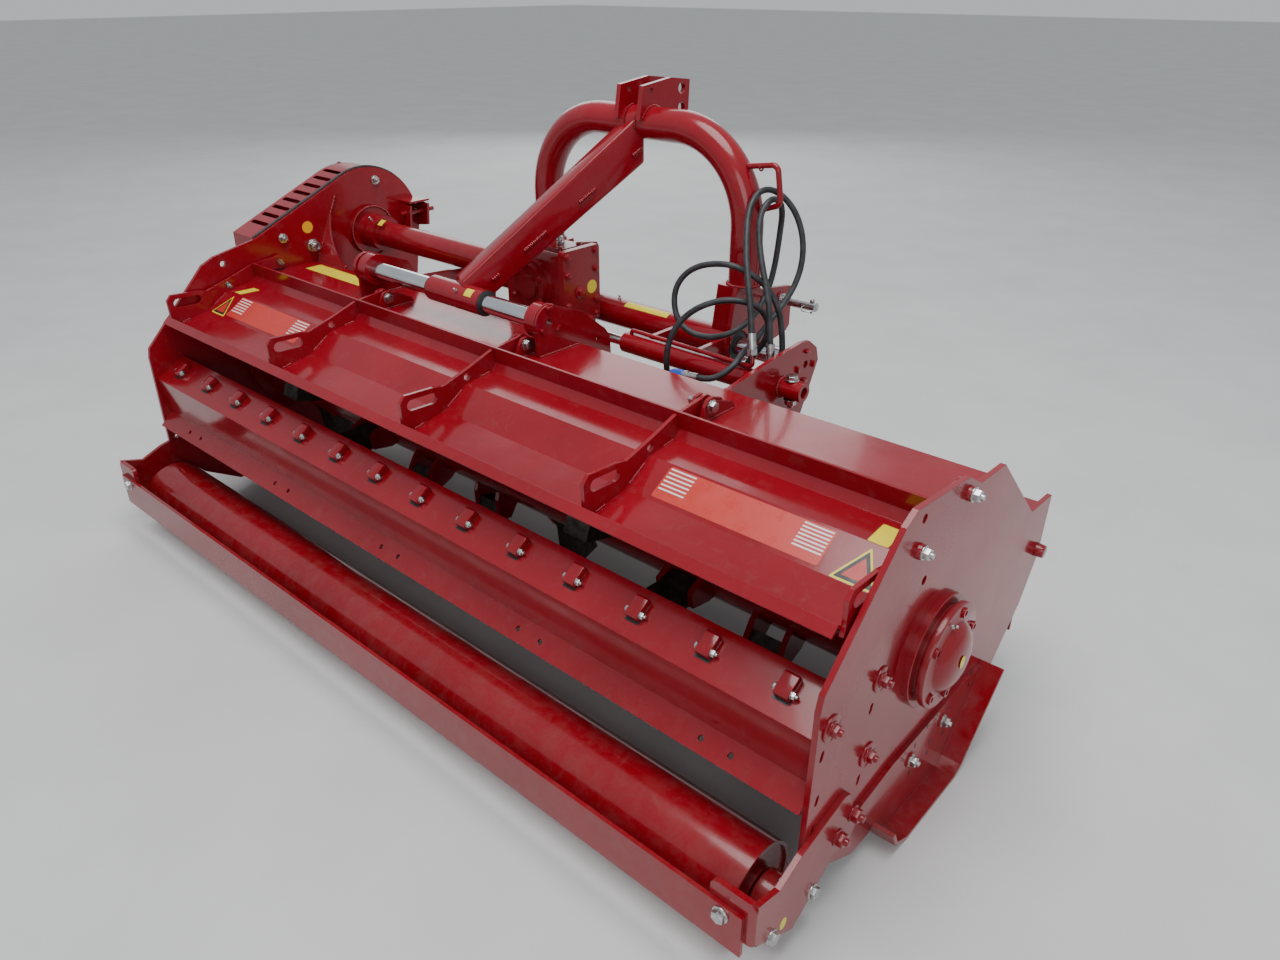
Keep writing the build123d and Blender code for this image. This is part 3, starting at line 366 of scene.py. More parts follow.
def add_head(bm, place, direction, size, high=HEAD_HIGH):
    """A hexagon head on its washer, for a shank of this diameter in mm."""
    d = size / 1000
    matrix = stand(place, direction)
    base = d * WASHER_HIGH
    top = base + d * high
    add_drum(bm, matrix, d * WASHER_R, d * WASHER_R, 0, base, 28, d * 0.04)
    add_drum(bm, matrix, d * HEX_R, d * HEX_R, base, top, 6, d * 0.09)
    return matrix, top


def add_nut(bm, place, direction, size):
    """A nut on a washer with the end of its stud showing."""
    matrix, top = add_head(bm, place, direction, size, NUT_HIGH)
    d = size / 1000
    add_drum(bm, matrix, d * STUD_R, d * STUD_END_R, top - d * 0.1, top + d * STUD_OUT, 16, d * 0.06)


print("bolt helpers ready")

# %% [markdown]
# ### Bolts of the housing
# The rows name a finish, a kind, a place, the side that the head faces and the size. The painted ones were on
# the machine when it was sprayed, and the zinc ones were fitted later.

# %% Bolt table
RIGHT, LEFT, UP, DOWN, REAR = (1, 0, 0), (-1, 0, 0), (0, 0, 1), (0, 0, -1), (0, -1, 0)
SIDES = ((1, RIGHT), (-1, LEFT))
SIDE_X = 1060  # outer face of the side plates
WASHER, SPACER, SKID, ARM = 3, 8, 8, 10  # thicknesses that lie on that face
HINGE, HOOD_LOCK = (41, 646), (-122, 614)
PLATE_BOLTS = ((-188, 410), (-336, 412), (-199, 261))
MIDDLE_RIBS = (-523, 0, 523)
bolt_rows = [
    # finish, kind, place, direction, size
    *[("red", "nut", (SIDE_X + WASHER, y, z), RIGHT, 12) for y, z in PLATE_BOLTS],
    ("zinc", "nut", (SIDE_X + SPACER, *HINGE), RIGHT, 12),
    ("zinc", "nut", (SIDE_X + SPACER, *HOOD_LOCK), RIGHT, 11),
    ("zinc", "nut", (-SIDE_X - SPACER, *HOOD_LOCK), LEFT, 11),
]
for side, direction in SIDES:
    for y, z in ((-240, 168), (-285, 151)):
        bolt_rows.append(("red", "nut", (side * (SIDE_X + ARM), y, z), direction, 14))
    for y, z in ((-351, 85), (-466, 92)):
        bolt_rows.append(("zinc", "head", (side * (SIDE_X + ARM), y, z), direction, 12))
for y, z in PLATE_BOLTS:
    bolt_rows.append(("red", "washer", (SIDE_X, y, z), RIGHT, 23))
for x in MIDDLE_RIBS:
    bolt_rows.append(("zinc", "head", (x + 18, *HINGE), RIGHT, 12.5))
    bolt_rows.append(("zinc", "nut", (x - 18, *HINGE), LEFT, 12.5))
for side, direction in SIDES:
    for y, z in ((97, 136), (-30, 130)):
        bolt_rows.append(("red", "washer", (side * (SIDE_X + SKID), y, z), direction, 15))
        bolt_rows.append(("zinc", "nut", (side * (SIDE_X + SKID + WASHER), y, z), direction, 11))
    bolt_rows.append(("zinc", "head", (side * 1012, -520, 146), REAR, 13))
print(len(bolt_rows), "bolts, nuts and washers")


# %% Place the bolts
def place_bolts(finish, name, material):
    bm = bmesh.new()
    for row_finish, kind, place, direction, size in bolt_rows:
        if row_finish != finish:
            continue
        if kind == "nut":
            add_nut(bm, at(*place), direction, size)
        elif kind == "washer":
            add_drum(bm, stand(at(*place), direction), size / 1000, size / 1000, 0, WASHER / 1000, 36, 0.0008)
        else:
            add_head(bm, at(*place), direction, size)
    hand_over(bm, name, "housing", material)


place_bolts("red", "housing_red_bolts", PAINT)
place_bolts("zinc", "housing_zinc_bolts", ZINC)

# %% [markdown]
# ### Spacers and bosses
# The hood's hinge and lock bolts stand on short red tubes, and the rod of the front flaps ends in a boss on
# each side plate. Nuts cover their ends, so closed drums that narrow a little are enough.

# %% Spacers and bosses
FLAP_ROD = (480, 332)
bm = bmesh.new()
for x, direction, places in ((SIDE_X, RIGHT, (HINGE, HOOD_LOCK)), (-SIDE_X, LEFT, (HOOD_LOCK,))):
    for y, z in places:
        add_drum(bm, stand(at(x, y, z), direction), 0.0135, 0.0125, 0, SPACER / 1000, 24, 0.001)
for side, direction in SIDES:
    add_drum(bm, stand(at(side * SIDE_X, *FLAP_ROD), direction), 0.015, 0.0135, 0, 0.018, 28, 0.002)
hand_over(bm, "hinge_spacers", "housing", PAINT)

# %% [markdown]
# ### Rotor bearing
# The rotor turns in a cast bearing under a domed cover. A body that was turned on a lathe is best made like
# one: half of its section is drawn and spun once round the rotor's axis. It takes the place of the plainer CAD
# bearing.

# %% Domed bearing
ROTOR_Z = 360
# distance along x and radius, from the plate to the middle of the dome
BEARING_PROFILE = [(1058, 0), (1058, 106), (1071, 106), (1072.5, 104.5), (1072.5, 86), (1081, 86), (1081, 96),
                   (1082.5, 97.5), (1092, 97.5), (1093.5, 96.5), (1094, 94), (1094, 67), (1095.5, 65), (1099, 63),
                   (1103, 60), (1107, 55.5), (1111, 49), (1114.5, 41), (1117, 31), (1118.6, 21), (1119.4, 10),
                   (1119.6, 0)]


def spin_round(bm, geom, centre, axis, steps):
    """One full turn about an axis, the last ring merged with the first and the poles closed."""
    bmesh.ops.spin(bm, geom=geom, cent=centre, axis=axis, angle=2 * pi, steps=steps, use_merge=True,
                   use_duplicate=False)
    bmesh.ops.remove_doubles(bm, verts=bm.verts, dist=1e-6)


bm = bmesh.new()
profile = [bm.verts.new(at(x, 0, ROTOR_Z + r)) for x, r in BEARING_PROFILE]
edges = [bm.edges.new(pair) for pair in zip(profile, profile[1:])]
spin_round(bm, profile + edges, at(0, 0, ROTOR_Z), RIGHT, 72)
bearing = hand_over(bm, "rotor_bearing", "housing", PAINT_CAST, 40)
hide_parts("rotor_bearing_right")

# %% [markdown]
# ### Screws of the bearing
# Six socket screws hold the bearing's flange. Each is a short drum whose end face is inset and pushed in, which
# leaves a round hole for the key without any cutting.

# %% Socket screws
FLANGE_X = 1094
SCREW_CIRCLE = 81
SCREW_ANGLES = (72, 14, -32, -86, -137, 146)


def add_socket_screw(bm, place, direction, r):
    """A screw with a socket in its end, its radius in mm."""
    matrix = stand(place, direction)
    made = add_drum(bm, matrix, r / 1000, r / 1000, -0.001, 0.0045, 18)
    inverse = matrix.inverted()
    faces = {f for v in made["verts"] for f in v.link_faces}
    top = max(faces, key=lambda f: (inverse @ f.calc_center_median()).z)
    bmesh.ops.inset_individual(bm, faces=[top], thickness=r / 1000 * 0.45, depth=0)
    bmesh.ops.inset_individual(bm, faces=[top], thickness=0.0001, depth=-0.0035)


bm = bmesh.new()
for angle in SCREW_ANGLES:
    y, z = SCREW_CIRCLE * cos(radians(angle)), ROTOR_Z + SCREW_CIRCLE * sin(radians(angle))
    add_socket_screw(bm, at(FLANGE_X, y, z), RIGHT, 9.5)
hand_over(bm, "bearing_screws", "housing", PAINT)

# %% [markdown]
# ### Nuts of the belt guard
# Zinc nuts hold the belt guard to its raised side plate, and small heads hold its outer cover. The belt's idler
# turns on a stub that ends in a large nut with the drilled end of its shaft in the middle.

# %% Guard nuts and idler nut
GUARD_X = -1050  # inner face of the raised side plate
COVER_X = -1177  # outer face of the cover
IDLER = (162, 668)
bm = bmesh.new()
for y, z in ((403, 824), (71, 706), (48, 640), (-116, 608), (501, 705)):
    add_nut(bm, at(GUARD_X, y, z), RIGHT, 12)
for y, z in ((366, 858), (-90, 470), (-90, 300), (120, 255), (330, 420), (505, 600)):
    add_head(bm, at(COVER_X, y, z), LEFT, 10)
hand_over(bm, "guard_nuts", "housing", ZINC)

bm = bmesh.new()
idler = stand(at(GUARD_X, *IDLER), RIGHT)
add_drum(bm, idler, 0.019, 0.019, 0, 0.004, 32, 0.001)
add_drum(bm, idler, 0.0165, 0.0165, 0.004, 0.017, 6, 0.0015)
add_socket_screw(bm, at(GUARD_X + 24, *IDLER), RIGHT, 10.5)
add_drum(bm, idler, 0.0105, 0.0105, 0.016, 0.0235, 28)
hand_over(bm, "idler_nut", "housing", ZINC)

# %% [markdown]
# ### Rubber edge of the belt guard
# A black rubber channel runs between the raised side plate and the vented cover: straight up, and then round
# the top of the guard. A bevelled curve could tilt on the bend, so its small section is extruded step by step
# along the edge of the plate.

# %% Rubber edge
DRIVE_AXIS = (366, 679)
GUARD_R = 186
GUARD_RISE = (-12, 719)
RIM_STEPS = 20
# x and the distance out from the plate's edge, round the section
EDGE_SECTION = ((-1067, -3), (-1067, 3.5), (-1064, 5), (-1059, 5), (-1057, 3.5), (-1057, 0.3), (-1060.2, -3))


def on_tube(axis_y, axis_z, radius, angle):
    """The y and z of a point on a tube that runs along x, and the direction away from its axis."""
    y, z = cos(radians(angle)), sin(radians(angle))
    return axis_y + radius * y, axis_z + radius * z, (0, y, z)


def edge_section(y, z, angle):
    away = Vector((0, cos(radians(angle)), sin(radians(angle)))) / 1000
    return [at(x, y, z) + away * out for x, out in EDGE_SECTION]


def extrude(bm, faces):
    """Grows a region of faces and gives its new corners and its new faces back."""
    made = bmesh.ops.extrude_face_region(bm, geom=faces)["geom"]
    return ([g for g in made if isinstance(g, bmesh.types.BMVert)],
            [g for g in made if isinstance(g, bmesh.types.BMFace)])


run_y, run_z = DRIVE_AXIS[0] - GUARD_RISE[0], DRIVE_AXIS[1] - GUARD_RISE[1]
tangent = (hypot(run_y, run_z) ** 2 - GUARD_R**2) ** 0.5
touch = degrees(atan2(run_z, run_y)) + degrees(atan2(GUARD_R, tangent)) + 90
edge_line = [(*GUARD_RISE, touch)]
for k in range(RIM_STEPS + 1):
    angle = touch * (1 - k / RIM_STEPS)
    edge_line.append((*on_tube(*DRIVE_AXIS, GUARD_R, angle)[:2], angle))
bm = bmesh.new()
front = [bm.faces.new([bm.verts.new(c) for c in edge_section(*edge_line[0])])]
for here, ahead in zip(edge_line, edge_line[1:]):
    moved, front = extrude(bm, front)
    corners, targets = edge_section(*here), edge_section(*ahead)
    for v in moved:
        v.co = targets[min(range(len(corners)), key=lambda j: (v.co - corners[j]).length)]
bmesh.ops.remove_doubles(bm, verts=bm.verts, dist=1e-6)
hand_over(bm, "guard_rubber_edge", "housing", RUBBER)

# %% [markdown]
# ### Grease nipples
# Every bearing and sliding sleeve has one: a small hexagon with a narrow neck and a ball for the grease gun.
# Those of the sleeves ride with the headstock, and the others stay on the housing.

# %% Grease nipples
REAR_ROD, FRONT_ROD = (83, 693), (473, 592)  # axes of the slide rods
ROLLER_Y, ROLLER_Z = -403, 84.15
ARM_BOSS_TOP = 126


def add_nipple(bm, place, direction):
    matrix = stand(place, direction)
    add_drum(bm, matrix, 0.0045, 0.0045, 0, 0.004, 6, 0.0005)
    add_drum(bm, matrix, 0.003, 0.002, 0.004, 0.008, 14)
    bmesh.ops.create_uvsphere(bm, u_segments=14, v_segments=8, radius=0.0033,
                              matrix=matrix @ Matrix.Translation((0, 0, 0.009)))


sleeve_bm, housing_bm = bmesh.new(), bmesh.new()
for bm, x, axis, radius, angle in ((sleeve_bm, -94, FRONT_ROD, 36, 92), (sleeve_bm, -330, FRONT_ROD, 36, 92),
                                   (sleeve_bm, -242, REAR_ROD, 31.5, 140),
                                   (housing_bm, -995, DRIVE_AXIS, 52, 124)):
    y, z, away = on_tube(*axis, radius, angle)
    add_nipple(bm, at(x, y, z), away)
add_nipple(housing_bm, at(FLANGE_X, -19, 432), (0.9, 0, 0.45))
for side, _ in SIDES:
    add_nipple(housing_bm, at(side * 1040, ROLLER_Y, ARM_BOSS_TOP), UP)
hand_over(sleeve_bm, "sleeve_nipples", "headstock", ZINC)
hand_over(housing_bm, "grease_nipples", "housing", ZINC)

# %% [markdown]
# ### Small blocks
# Short blocks are welded round the ends of both slide rods to centre them while the frame is assembled. Each is
# a cube scaled to size, with its edges bevelled, turned about the rod's axis.


# %% Centring blocks
def add_block(bm, matrix, size, chamfer):
    made = bmesh.ops.create_cube(bm, size=1, matrix=matrix @ Matrix.Diagonal((*[v / 1000 for v in size], 1)))
    round_off(bm, {e for v in made["verts"] for e in v.link_edges}, chamfer)


bm = bmesh.new()
for face_x, (axis_y, axis_z), corners in ((50, REAR_ROD, ((82, 727), (59, 678), (107, 676))),
                                          (481, FRONT_ROD, ((473, 624), (504, 585), (438, 589), (470, 556)))):
    for y, z in corners:
        turn = Matrix.Rotation(atan2(z - axis_z, y - axis_y), 4, "X")
        add_block(bm, Matrix.Translation(at(face_x + 3, y, z)) @ turn, (7, 7, 15), 0.0008)
hand_over(bm, "centring_blocks", "housing", PAINT)

# %% [markdown]
# ### Tine clamps
# Every tine of the rake is a blade whose root stands through a slot in the inclined plate. A folded clamp covers
# the root, and one cross bolt holds it: its head is on the left, a nut and the end of the thread on the right.
# The clamp's side view is one face that is extruded across the clamp's width and then bevelled all round.

# %% Places on the rake's inclined plate
RAKE_LOW, RAKE_HIGH = (-366, 402), (-285, 447)
RAKE_RUN, RAKE_RISE = RAKE_HIGH[0] - RAKE_LOW[0], RAKE_HIGH[1] - RAKE_LOW[1]
RAKE_SLOPE = atan2(RAKE_RISE, RAKE_RUN)
TINE_Y = -320
TINE_Z = RAKE_HIGH[1] + (TINE_Y - RAKE_HIGH[0]) * RAKE_RISE / RAKE_RUN


def on_rake(x, along, lift):
    """Point on the rake's inclined plate: along its slope from a tine's foot and above the plate, in mm."""
    y = TINE_Y + along * cos(RAKE_SLOPE) - lift * sin(RAKE_SLOPE)
    z = TINE_Z + along * sin(RAKE_SLOPE) + lift * cos(RAKE_SLOPE)
    return at(x, y, z)


print("rake slopes by", round(degrees(RAKE_SLOPE), 1), "degrees")


# %% Tine clamps and their bolts
def add_plate(bm, corners, shift, round_by=0.0):
    """A flat outline, its corners rounded if asked, extruded by a shift; it gives its own faces back."""
    before = set(bm.faces)
    verts = [bm.verts.new(c) for c in corners]
    bm.faces.new(verts)
    if round_by:
        bmesh.ops.bevel(bm, geom=verts, offset=round_by / 1000, segments=5, profile=0.5, affect="VERTICES",
                        material=-1)
    moved, _ = extrude(bm, [f for f in bm.faces if f not in before])
    bmesh.ops.translate(bm, verts=moved, vec=shift)
    return [f for f in bm.faces if f not in before]


TINES, TINE_STEP = 14, 150
CLAMP_HALF = 13.5
CLAMP_SIDE = [(-20, 0.2), (-20, 12), (-17, 15), (17, 18), (21, 15), (21, 0.2)]
SLOT_OUTLINE = [(-15, -25), (15, -25), (15, -15), (-15, -15)]
SLOT_THICK = on_rake(0, 0, 0.4) - on_rake(0, 0, 0)
clamp_bm, slot_shade_bm, bolt_bm = bmesh.new(), bmesh.new(), bmesh.new()
for k in range(TINES):
    x = (k - (TINES - 1) / 2) * TINE_STEP
    side_view = [on_rake(x - CLAMP_HALF, along, lift) for along, lift in CLAMP_SIDE]
    faces = add_plate(clamp_bm, side_view, (CLAMP_HALF * 2 / 1000, 0, 0))
    round_off(clamp_bm, {e for f in faces for e in f.edges}, 0.0012)
    # a dark plate over the open end of each slot is painted shade
    add_plate(slot_shade_bm, [on_rake(x + across, along, 0.1) for across, along in SLOT_OUTLINE], SLOT_THICK)
    add_nut(bolt_bm, on_rake(x + CLAMP_HALF, -9, 8), RIGHT, 7)
    add_head(bolt_bm, on_rake(x - CLAMP_HALF, -9, 8), LEFT, 7)
clamps = hand_over(clamp_bm, "tine_clamps", "housing", PAINT_LOW)
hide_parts("rake_tines")
hand_over(bolt_bm, "tine_bolts", "housing", ZINC)

# %% [markdown]
# ### Weld beads
# A weld is a row of overlapping drops. Small squashed spheres along a line give its ripple, and one function
# lays them along any chain of points. The sphere is made once and its mesh is added again for every drop,
# because thousands of sphere operators on one growing bmesh would take minutes.

# %% One drop, and a bead of drops
drop_bm = bmesh.new()
bmesh.ops.create_uvsphere(drop_bm, u_segments=6, v_segments=4, radius=1)
drop = bpy.data.meshes.new("weld_drop")
drop_bm.to_mesh(drop)
drop_places = [v.co.copy() for v in drop_bm.verts]
drop_bm.free()


def add_weld(bm, points, size):
    """A bead of this half width in mm along a chain of places."""
    step = size * 0.62 / 1000
    number = 0
    for start, end in zip(points, points[1:]):
        run = end - start
        count = max(1, int(run.length / step))
        turn = run.to_track_quat("X", "Z").to_matrix().to_4x4()
        for k in range(count):
            swell = 1 + 0.12 * sin(number * 2.4)
            number += 1
            shape = Matrix.Diagonal((size * 0.55 / 1000, size * swell / 1000, size * swell * 0.8 / 1000, 1))
            matrix = Matrix.Translation(start + run * ((k + 0.5) / count)) @ turn @ shape
            drop.vertices.foreach_set("co", [c for place in drop_places for c in matrix @ place])
            bm.from_mesh(drop)


def arc(centre, radius, start, end, across, steps=18):
    """Places along an arc in the plane across x or z, its angles in degrees."""
    places = []
    for k in range(steps + 1):
        a = radians(start + (end - start) * k / steps)
        u, v = radius * cos(a), radius * sin(a)
        shift = (0, u, v) if across == "x" else (u, v, 0)
        places.append(at(*[c + d for c, d in zip(centre, shift)]))
    return places


print("a drop has", len(drop_places), "corners")

# %% [markdown]
# ### Welds of the hood
# The hood's sheet falls steeply behind its fold, and five ribs are welded to it on both sides. Places on that
# face are counted down its slope, so that a row of stickers or a weld stays on the sheet.

# %% Hood welds
HOOD_TOP, HOOD_LOW = (-124, 599), (-193, 556)
HOOD_FALL = Vector((HOOD_LOW[0] - HOOD_TOP[0], HOOD_LOW[1] - HOOD_TOP[1])).normalized()


def on_hood(x, down, lift=0.0):
    """Point on the hood's steep face, down its slope from the fold and above the sheet, in mm."""
    return at(x, HOOD_TOP[0] + HOOD_FALL.x * down + HOOD_FALL.y * lift,
              HOOD_TOP[1] + HOOD_FALL.y * down - HOOD_FALL.x * lift)


bm = bmesh.new()
for x in MIDDLE_RIBS:
    for off in (-5, 5):
        add_weld(bm, [on_hood(x + off, 18), on_hood(x + off, 68)], 3.6)
        add_weld(bm, [at(x + off, -246, 547), at(x + off, -270, 542)], 3.4)
        add_weld(bm, [at(x + off, -60, 607), at(x + off, -86, 604)], 3.0)
for x in (-1035, 1035):
    add_weld(bm, [on_hood(x, 10), on_hood(x, 56)], 3.4)
    add_weld(bm, [at(x, -246, 547), at(x, -270, 542)], 3.4)
hand_over(bm, "hood_welds", "hood", PAINT, 60)

# %% [markdown]
# ### Welds of the housing
# The hinge ears, the lugs of the slide rods, the gearbox's stand and the belt guard are welded to the deck.
# Straight beads are rows of places, and beads round a tube are arcs.

# %% Housing welds
bm = bmesh.new()
for x in MIDDLE_RIBS:
    for off in (-19, 19):
        add_weld(bm, [at(x + off, 12, 621), at(x + off, 112, 621)], 3.2)
for size, *places in ((6.0, (-1048, 174, 621), (-918, 184, 621)),
                      (6.5, (-1049, 174, 626), (-1049, 258, 798)),
                      (3.6, (51, 50, 621), (51, 176, 621), (51, 282, 532)),
                      (3.6, (38, 50, 621), (38, 176, 621)),
                      (3.6, (-632, 50, 621), (-632, 176, 621), (-632, 384, 443)),
                      (4.0, (470, 182, 619), (470, 388, 441)),
                      (4.0, (482, 182, 619), (482, 388, 441))):
    add_weld(bm, [at(*place) for place in places], size)
add_weld(bm, arc((482.5, 380, 566), 23, 0, 360, "x"), 3.4)
add_weld(bm, arc((41, *REAR_ROD), 40.5, 0, 180, "x"), 3.0)
for x in (-310, -138):
    for off in (-11, 2):
        add_weld(bm, [at(x + off, 300, 516), at(x + off, 388, 440)], 3.6)
add_weld(bm, arc((-1035, *DRIVE_AXIS), 73, 0, 360, "x", 40), 4.2)
hand_over(bm, "housing_welds", "housing", PAINT, 60)

# %% [markdown]
# ### Strut
# The slanting strut between the rear sleeve and the arch's crown is a deep box folded from two sheets, so its
# long edges are round and its seam is stitched. Its side view is extruded across, and one bevel rounds it.

# %% Strut
STRUT_FOOT = Vector((-262, 83))
STRUT_RUN = Vector((214, 417)).normalized()
STRUT_HALF = 31
STRUT_SIDE = [(0, 693), (0, 735), (468.7, 1098), (468.7, 978), (62, 684), (36, 682)]


def on_strut(along, z, out):
    """Point on the strut: along its plan from the rear rod, at a height and out to its right, in mm."""
    place = STRUT_FOOT + STRUT_RUN * along + Vector((STRUT_RUN.y, -STRUT_RUN.x)) * out
    return at(place.x, place.y, z)


bm = bmesh.new()
strut_width = on_strut(0, 0, STRUT_HALF) - on_strut(0, 0, -STRUT_HALF)
add_plate(bm, [on_strut(along, z, -STRUT_HALF) for along, z in STRUT_SIDE], strut_width)
round_off(bm, bm.edges, 0.006, 4)
strut_box = hand_over(bm, "strut_box", "headstock", PAINT, 50)
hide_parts("strut")

# %% [markdown]
# ### Welds of the headstock
# Stitches follow the strut's seam, and full beads go round the arch's feet, the top link's plates, the hitch
# pins and the ends of the front sleeve.

# %% Headstock welds
HEAD_X = -48  # middle of the headstock
ARCH_HALF, LINK_HALF = 328, 341
ARCH_Y, CROWN_Z = 500, 1068
HITCH = (640, 668)
STITCHES = (((75, 728), (94, 741)), ((158, 790), (216, 832)), ((300, 893), (342, 923)),
            ((438, 992), (462, 1010)))
bm = bmesh.new()
for (along_0, z_0), (along_1, z_1) in STITCHES:
    for out in (STRUT_HALF, -STRUT_HALF):
        add_weld(bm, [on_strut(along_0, z_0 + 3, out), on_strut(along_1, z_1 + 3, out)], 7.5)
for x in (HEAD_X - ARCH_HALF, HEAD_X + ARCH_HALF):
    add_weld(bm, arc((x, ARCH_Y, 737), 39, 0, 360, "z", 32), 4.6)
for x in (HEAD_X - 42, HEAD_X + 42):
    add_weld(bm, arc((x, ARCH_Y, CROWN_Z), 39.5, 20, 160, "x", 22), 4.2)
for x in (HEAD_X - 18, HEAD_X + 18):
    add_weld(bm, arc((x, ARCH_Y, CROWN_Z), 39.5, 95, 200, "x", 16), 3.8)
for side in (-1, 1):
    x = HEAD_X + side * LINK_HALF
    add_weld(bm, arc((x + side, *HITCH), 17, 0, 360, "x", 20), 3.4)
    add_weld(bm, [at(x - side * 11, 458, 732), at(x - side * 11, 540, 732)], 3.6)
for x in (-385, 287):
    add_weld(bm, arc((x, *FRONT_ROD), 35, 0, 360, "x", 28), 2.4)
for off, z in ((30, 1003), (36, 911)):
    add_weld(bm, arc((HEAD_X + ARCH_HALF + off, ARCH_Y, z), 7.4, 0, 360, "x", 10), 2.4)
hand_over(bm, "headstock_welds", "headstock", PAINT, 60)

# %% [markdown]
# ### Vinyl
# Stickers are printed vinyl, smoother than the paint and faded in patches. One function makes each colour from
# its fresh and its worn tone. The black one also paints the shade in the open ends of the slots that the tines
# stand in, and in the slots of the skids.


# %% Vinyl finishes
def vinyl(name, colour, worn):
    film = Finish(name)
    fade = film.spread(film.noise(26, 6, 0.7, warp=0.3), 0.45, 0.9, 0, 0.3)
    sheen = film.spread(film.noise(40, 4, 0.6), 0.3, 0.7, 0.22, 0.42)
    film.set(Base_Color=film.mix(fade, colour, worn), Roughness=sheen)
    film.relief(film.noise(260, 2, 0.5), 0.06, 0.0003)
    return film.material


PANEL_RED = vinyl("vinyl_red", (0.52, 0.035, 0.025), (0.42, 0.04, 0.035))
WHITE = vinyl("vinyl_white", (0.74, 0.75, 0.76), (0.6, 0.55, 0.55))
YELLOW = vinyl("vinyl_yellow", (0.76, 0.63, 0.03), (0.6, 0.46, 0.05))
ORANGE = vinyl("vinyl_orange", (0.82, 0.4, 0.01), (0.6, 0.3, 0.03))
# besides the black print, this vinyl is the painted shade in the open slots of the rake and the skids
BLACK = vinyl("black_vinyl_and_slot_shade", (0.015, 0.015, 0.016), (0.05, 0.04, 0.04))
# the dark plates in the slot ends are painted shade
hand_over(slot_shade_bm, "tine_slot_shade", "housing", BLACK)

# %% [markdown]
# ### Panels on the hood
# Each end of the hood has a long panel in a lighter red with two blocks of white stripes. Thin plates with
# rounded corners keep a crisp edge at any distance, which an image doesn't. The panels are blank.

# %% Panels and their stripes
HOOD_AWAY = Vector((0, HOOD_FALL.y, -HOOD_FALL.x))
# a panel's x from and to, then for each block of stripes its x from and to and the number of stripes
PANELS = ((583, 927, ((587, 644, 6), (868, 923, 7))), (-949, -605, ((-945, -890, 6), (-665, -609, 6))))


def add_patch(bm, corners, away, thick, round_by=0.0):
    """A thin plate over a flat outline, extruded away from the surface under it, in mm."""
    add_plate(bm, corners, Vector(away).normalized() * thick / 1000, round_by)


def hood_box(x_from, x_to, down_from, down_to, lift):
    return [on_hood(x_from, down_from, lift), on_hood(x_to, down_from, lift), on_hood(x_to, down_to, lift),
            on_hood(x_from, down_to, lift)]


red_bm, stripe_bm = bmesh.new(), bmesh.new()
for x_from, x_to, blocks in PANELS:
    add_patch(red_bm, hood_box(x_from, x_to, 5, 73, 0.05), HOOD_AWAY, 0.35, 5)
    for left, right, count in blocks:
        for k in range(count):
            down = 10 + k * 43 / (count - 1)
            add_patch(stripe_bm, hood_box(left, right, down - 1.5, down + 1.5, 0.4), HOOD_AWAY, 0.12)
hand_over(red_bm, "hood_panels", "hood", PANEL_RED)
hand_over(stripe_bm, "hood_panel_stripes", "hood", WHITE)

# %% [markdown]
# ### Stickers on the hood
# A yellow triangle with a dark border stands beside each panel, and a yellow patch above it. They keep their
# place, outline and colour, and their fields stay empty. The triangle is three plates, each smaller than the
# one under it.

# %% Stickers on the hood
LEVEL_EDGE = (-55, 607)
LEVEL_AWAY = (0, -0.115, 0.993)


def level_at(x, y):
    """Point just above the hood's nearly level face, which falls 8 mm in 69."""
    return at(x, y, LEVEL_EDGE[1] + (y - LEVEL_EDGE[0]) * 8 / 69 + 0.06)


def shrink(corners, by):
    """The same outline, its corners moved towards its middle by a share."""
    middle = sum(corners, Vector()) / len(corners)
    return [c + (middle - c) * by for c in corners]


yellow_bm, black_bm, field_bm = bmesh.new(), bmesh.new(), bmesh.new()
for outline, round_by in ((((975, -72), (1011, -72), (1011, -123.5), (975, -123.5)), 3),
                          (((-982, -76), (-950, -77), (-972, -123), (-1004, -123)), 2)):
    add_patch(yellow_bm, [level_at(x, y) for x, y in outline], LEVEL_AWAY, 0.3, round_by)
for outline in (((990, 9), (951, 80), (1031, 80)), ((-988, 11), (-1020, 80), (-953, 80))):
    corners = [on_hood(x, down, 0.05) for x, down in outline]
    lift = HOOD_AWAY * 0.00035
    add_patch(yellow_bm, corners, HOOD_AWAY, 0.3, 3)
    add_patch(black_bm, [c + lift for c in shrink(corners, 0.16)], HOOD_AWAY, 0.1, 2)
    add_patch(field_bm, [c + lift * 1.3 for c in shrink(corners, 0.42)], HOOD_AWAY, 0.1, 1)
hand_over(yellow_bm, "hood_yellow_stickers", "hood", YELLOW)
hand_over(black_bm, "hood_sticker_borders", "hood", BLACK)
hand_over(field_bm, "hood_sticker_fields", "hood", PANEL_RED)

# %% [markdown]
# ### Stickers on the housing
# A long strip lies on the deck beside the guard, and small round dots mark the gearbox, the bearing and the
# roller arm. A dot is a very flat drum, and an oval one is the same drum stretched.

# %% Flat stickers on the housing
DECK_STRIP = ((-1004, 101), (-736, 101), (-736, 152), (-1004, 152))
GEARBOX_X = -110  # right face of the gearbox


def add_round_patch(bm, place, direction, r, oval=1.0):
    matrix = stand(place, direction) @ Matrix.Diagonal((1, oval, 1, 1))
    add_drum(bm, matrix, r / 1000, r / 1000, 0.00005, 0.00035, 36)


bm = bmesh.new()
add_patch(bm, [at(x, y, 620.05) for x, y in DECK_STRIP], UP, 0.3, 3)
add_round_patch(bm, at(GEARBOX_X, 385, 678), RIGHT, 17)
add_round_patch(bm, at(1120, -12, 368), RIGHT, 9, 1.35)
add_round_patch(bm, at(SIDE_X + ARM, -434, 90), RIGHT, 9, 1.3)
hand_over(bm, "housing_yellow_stickers", "housing", YELLOW)
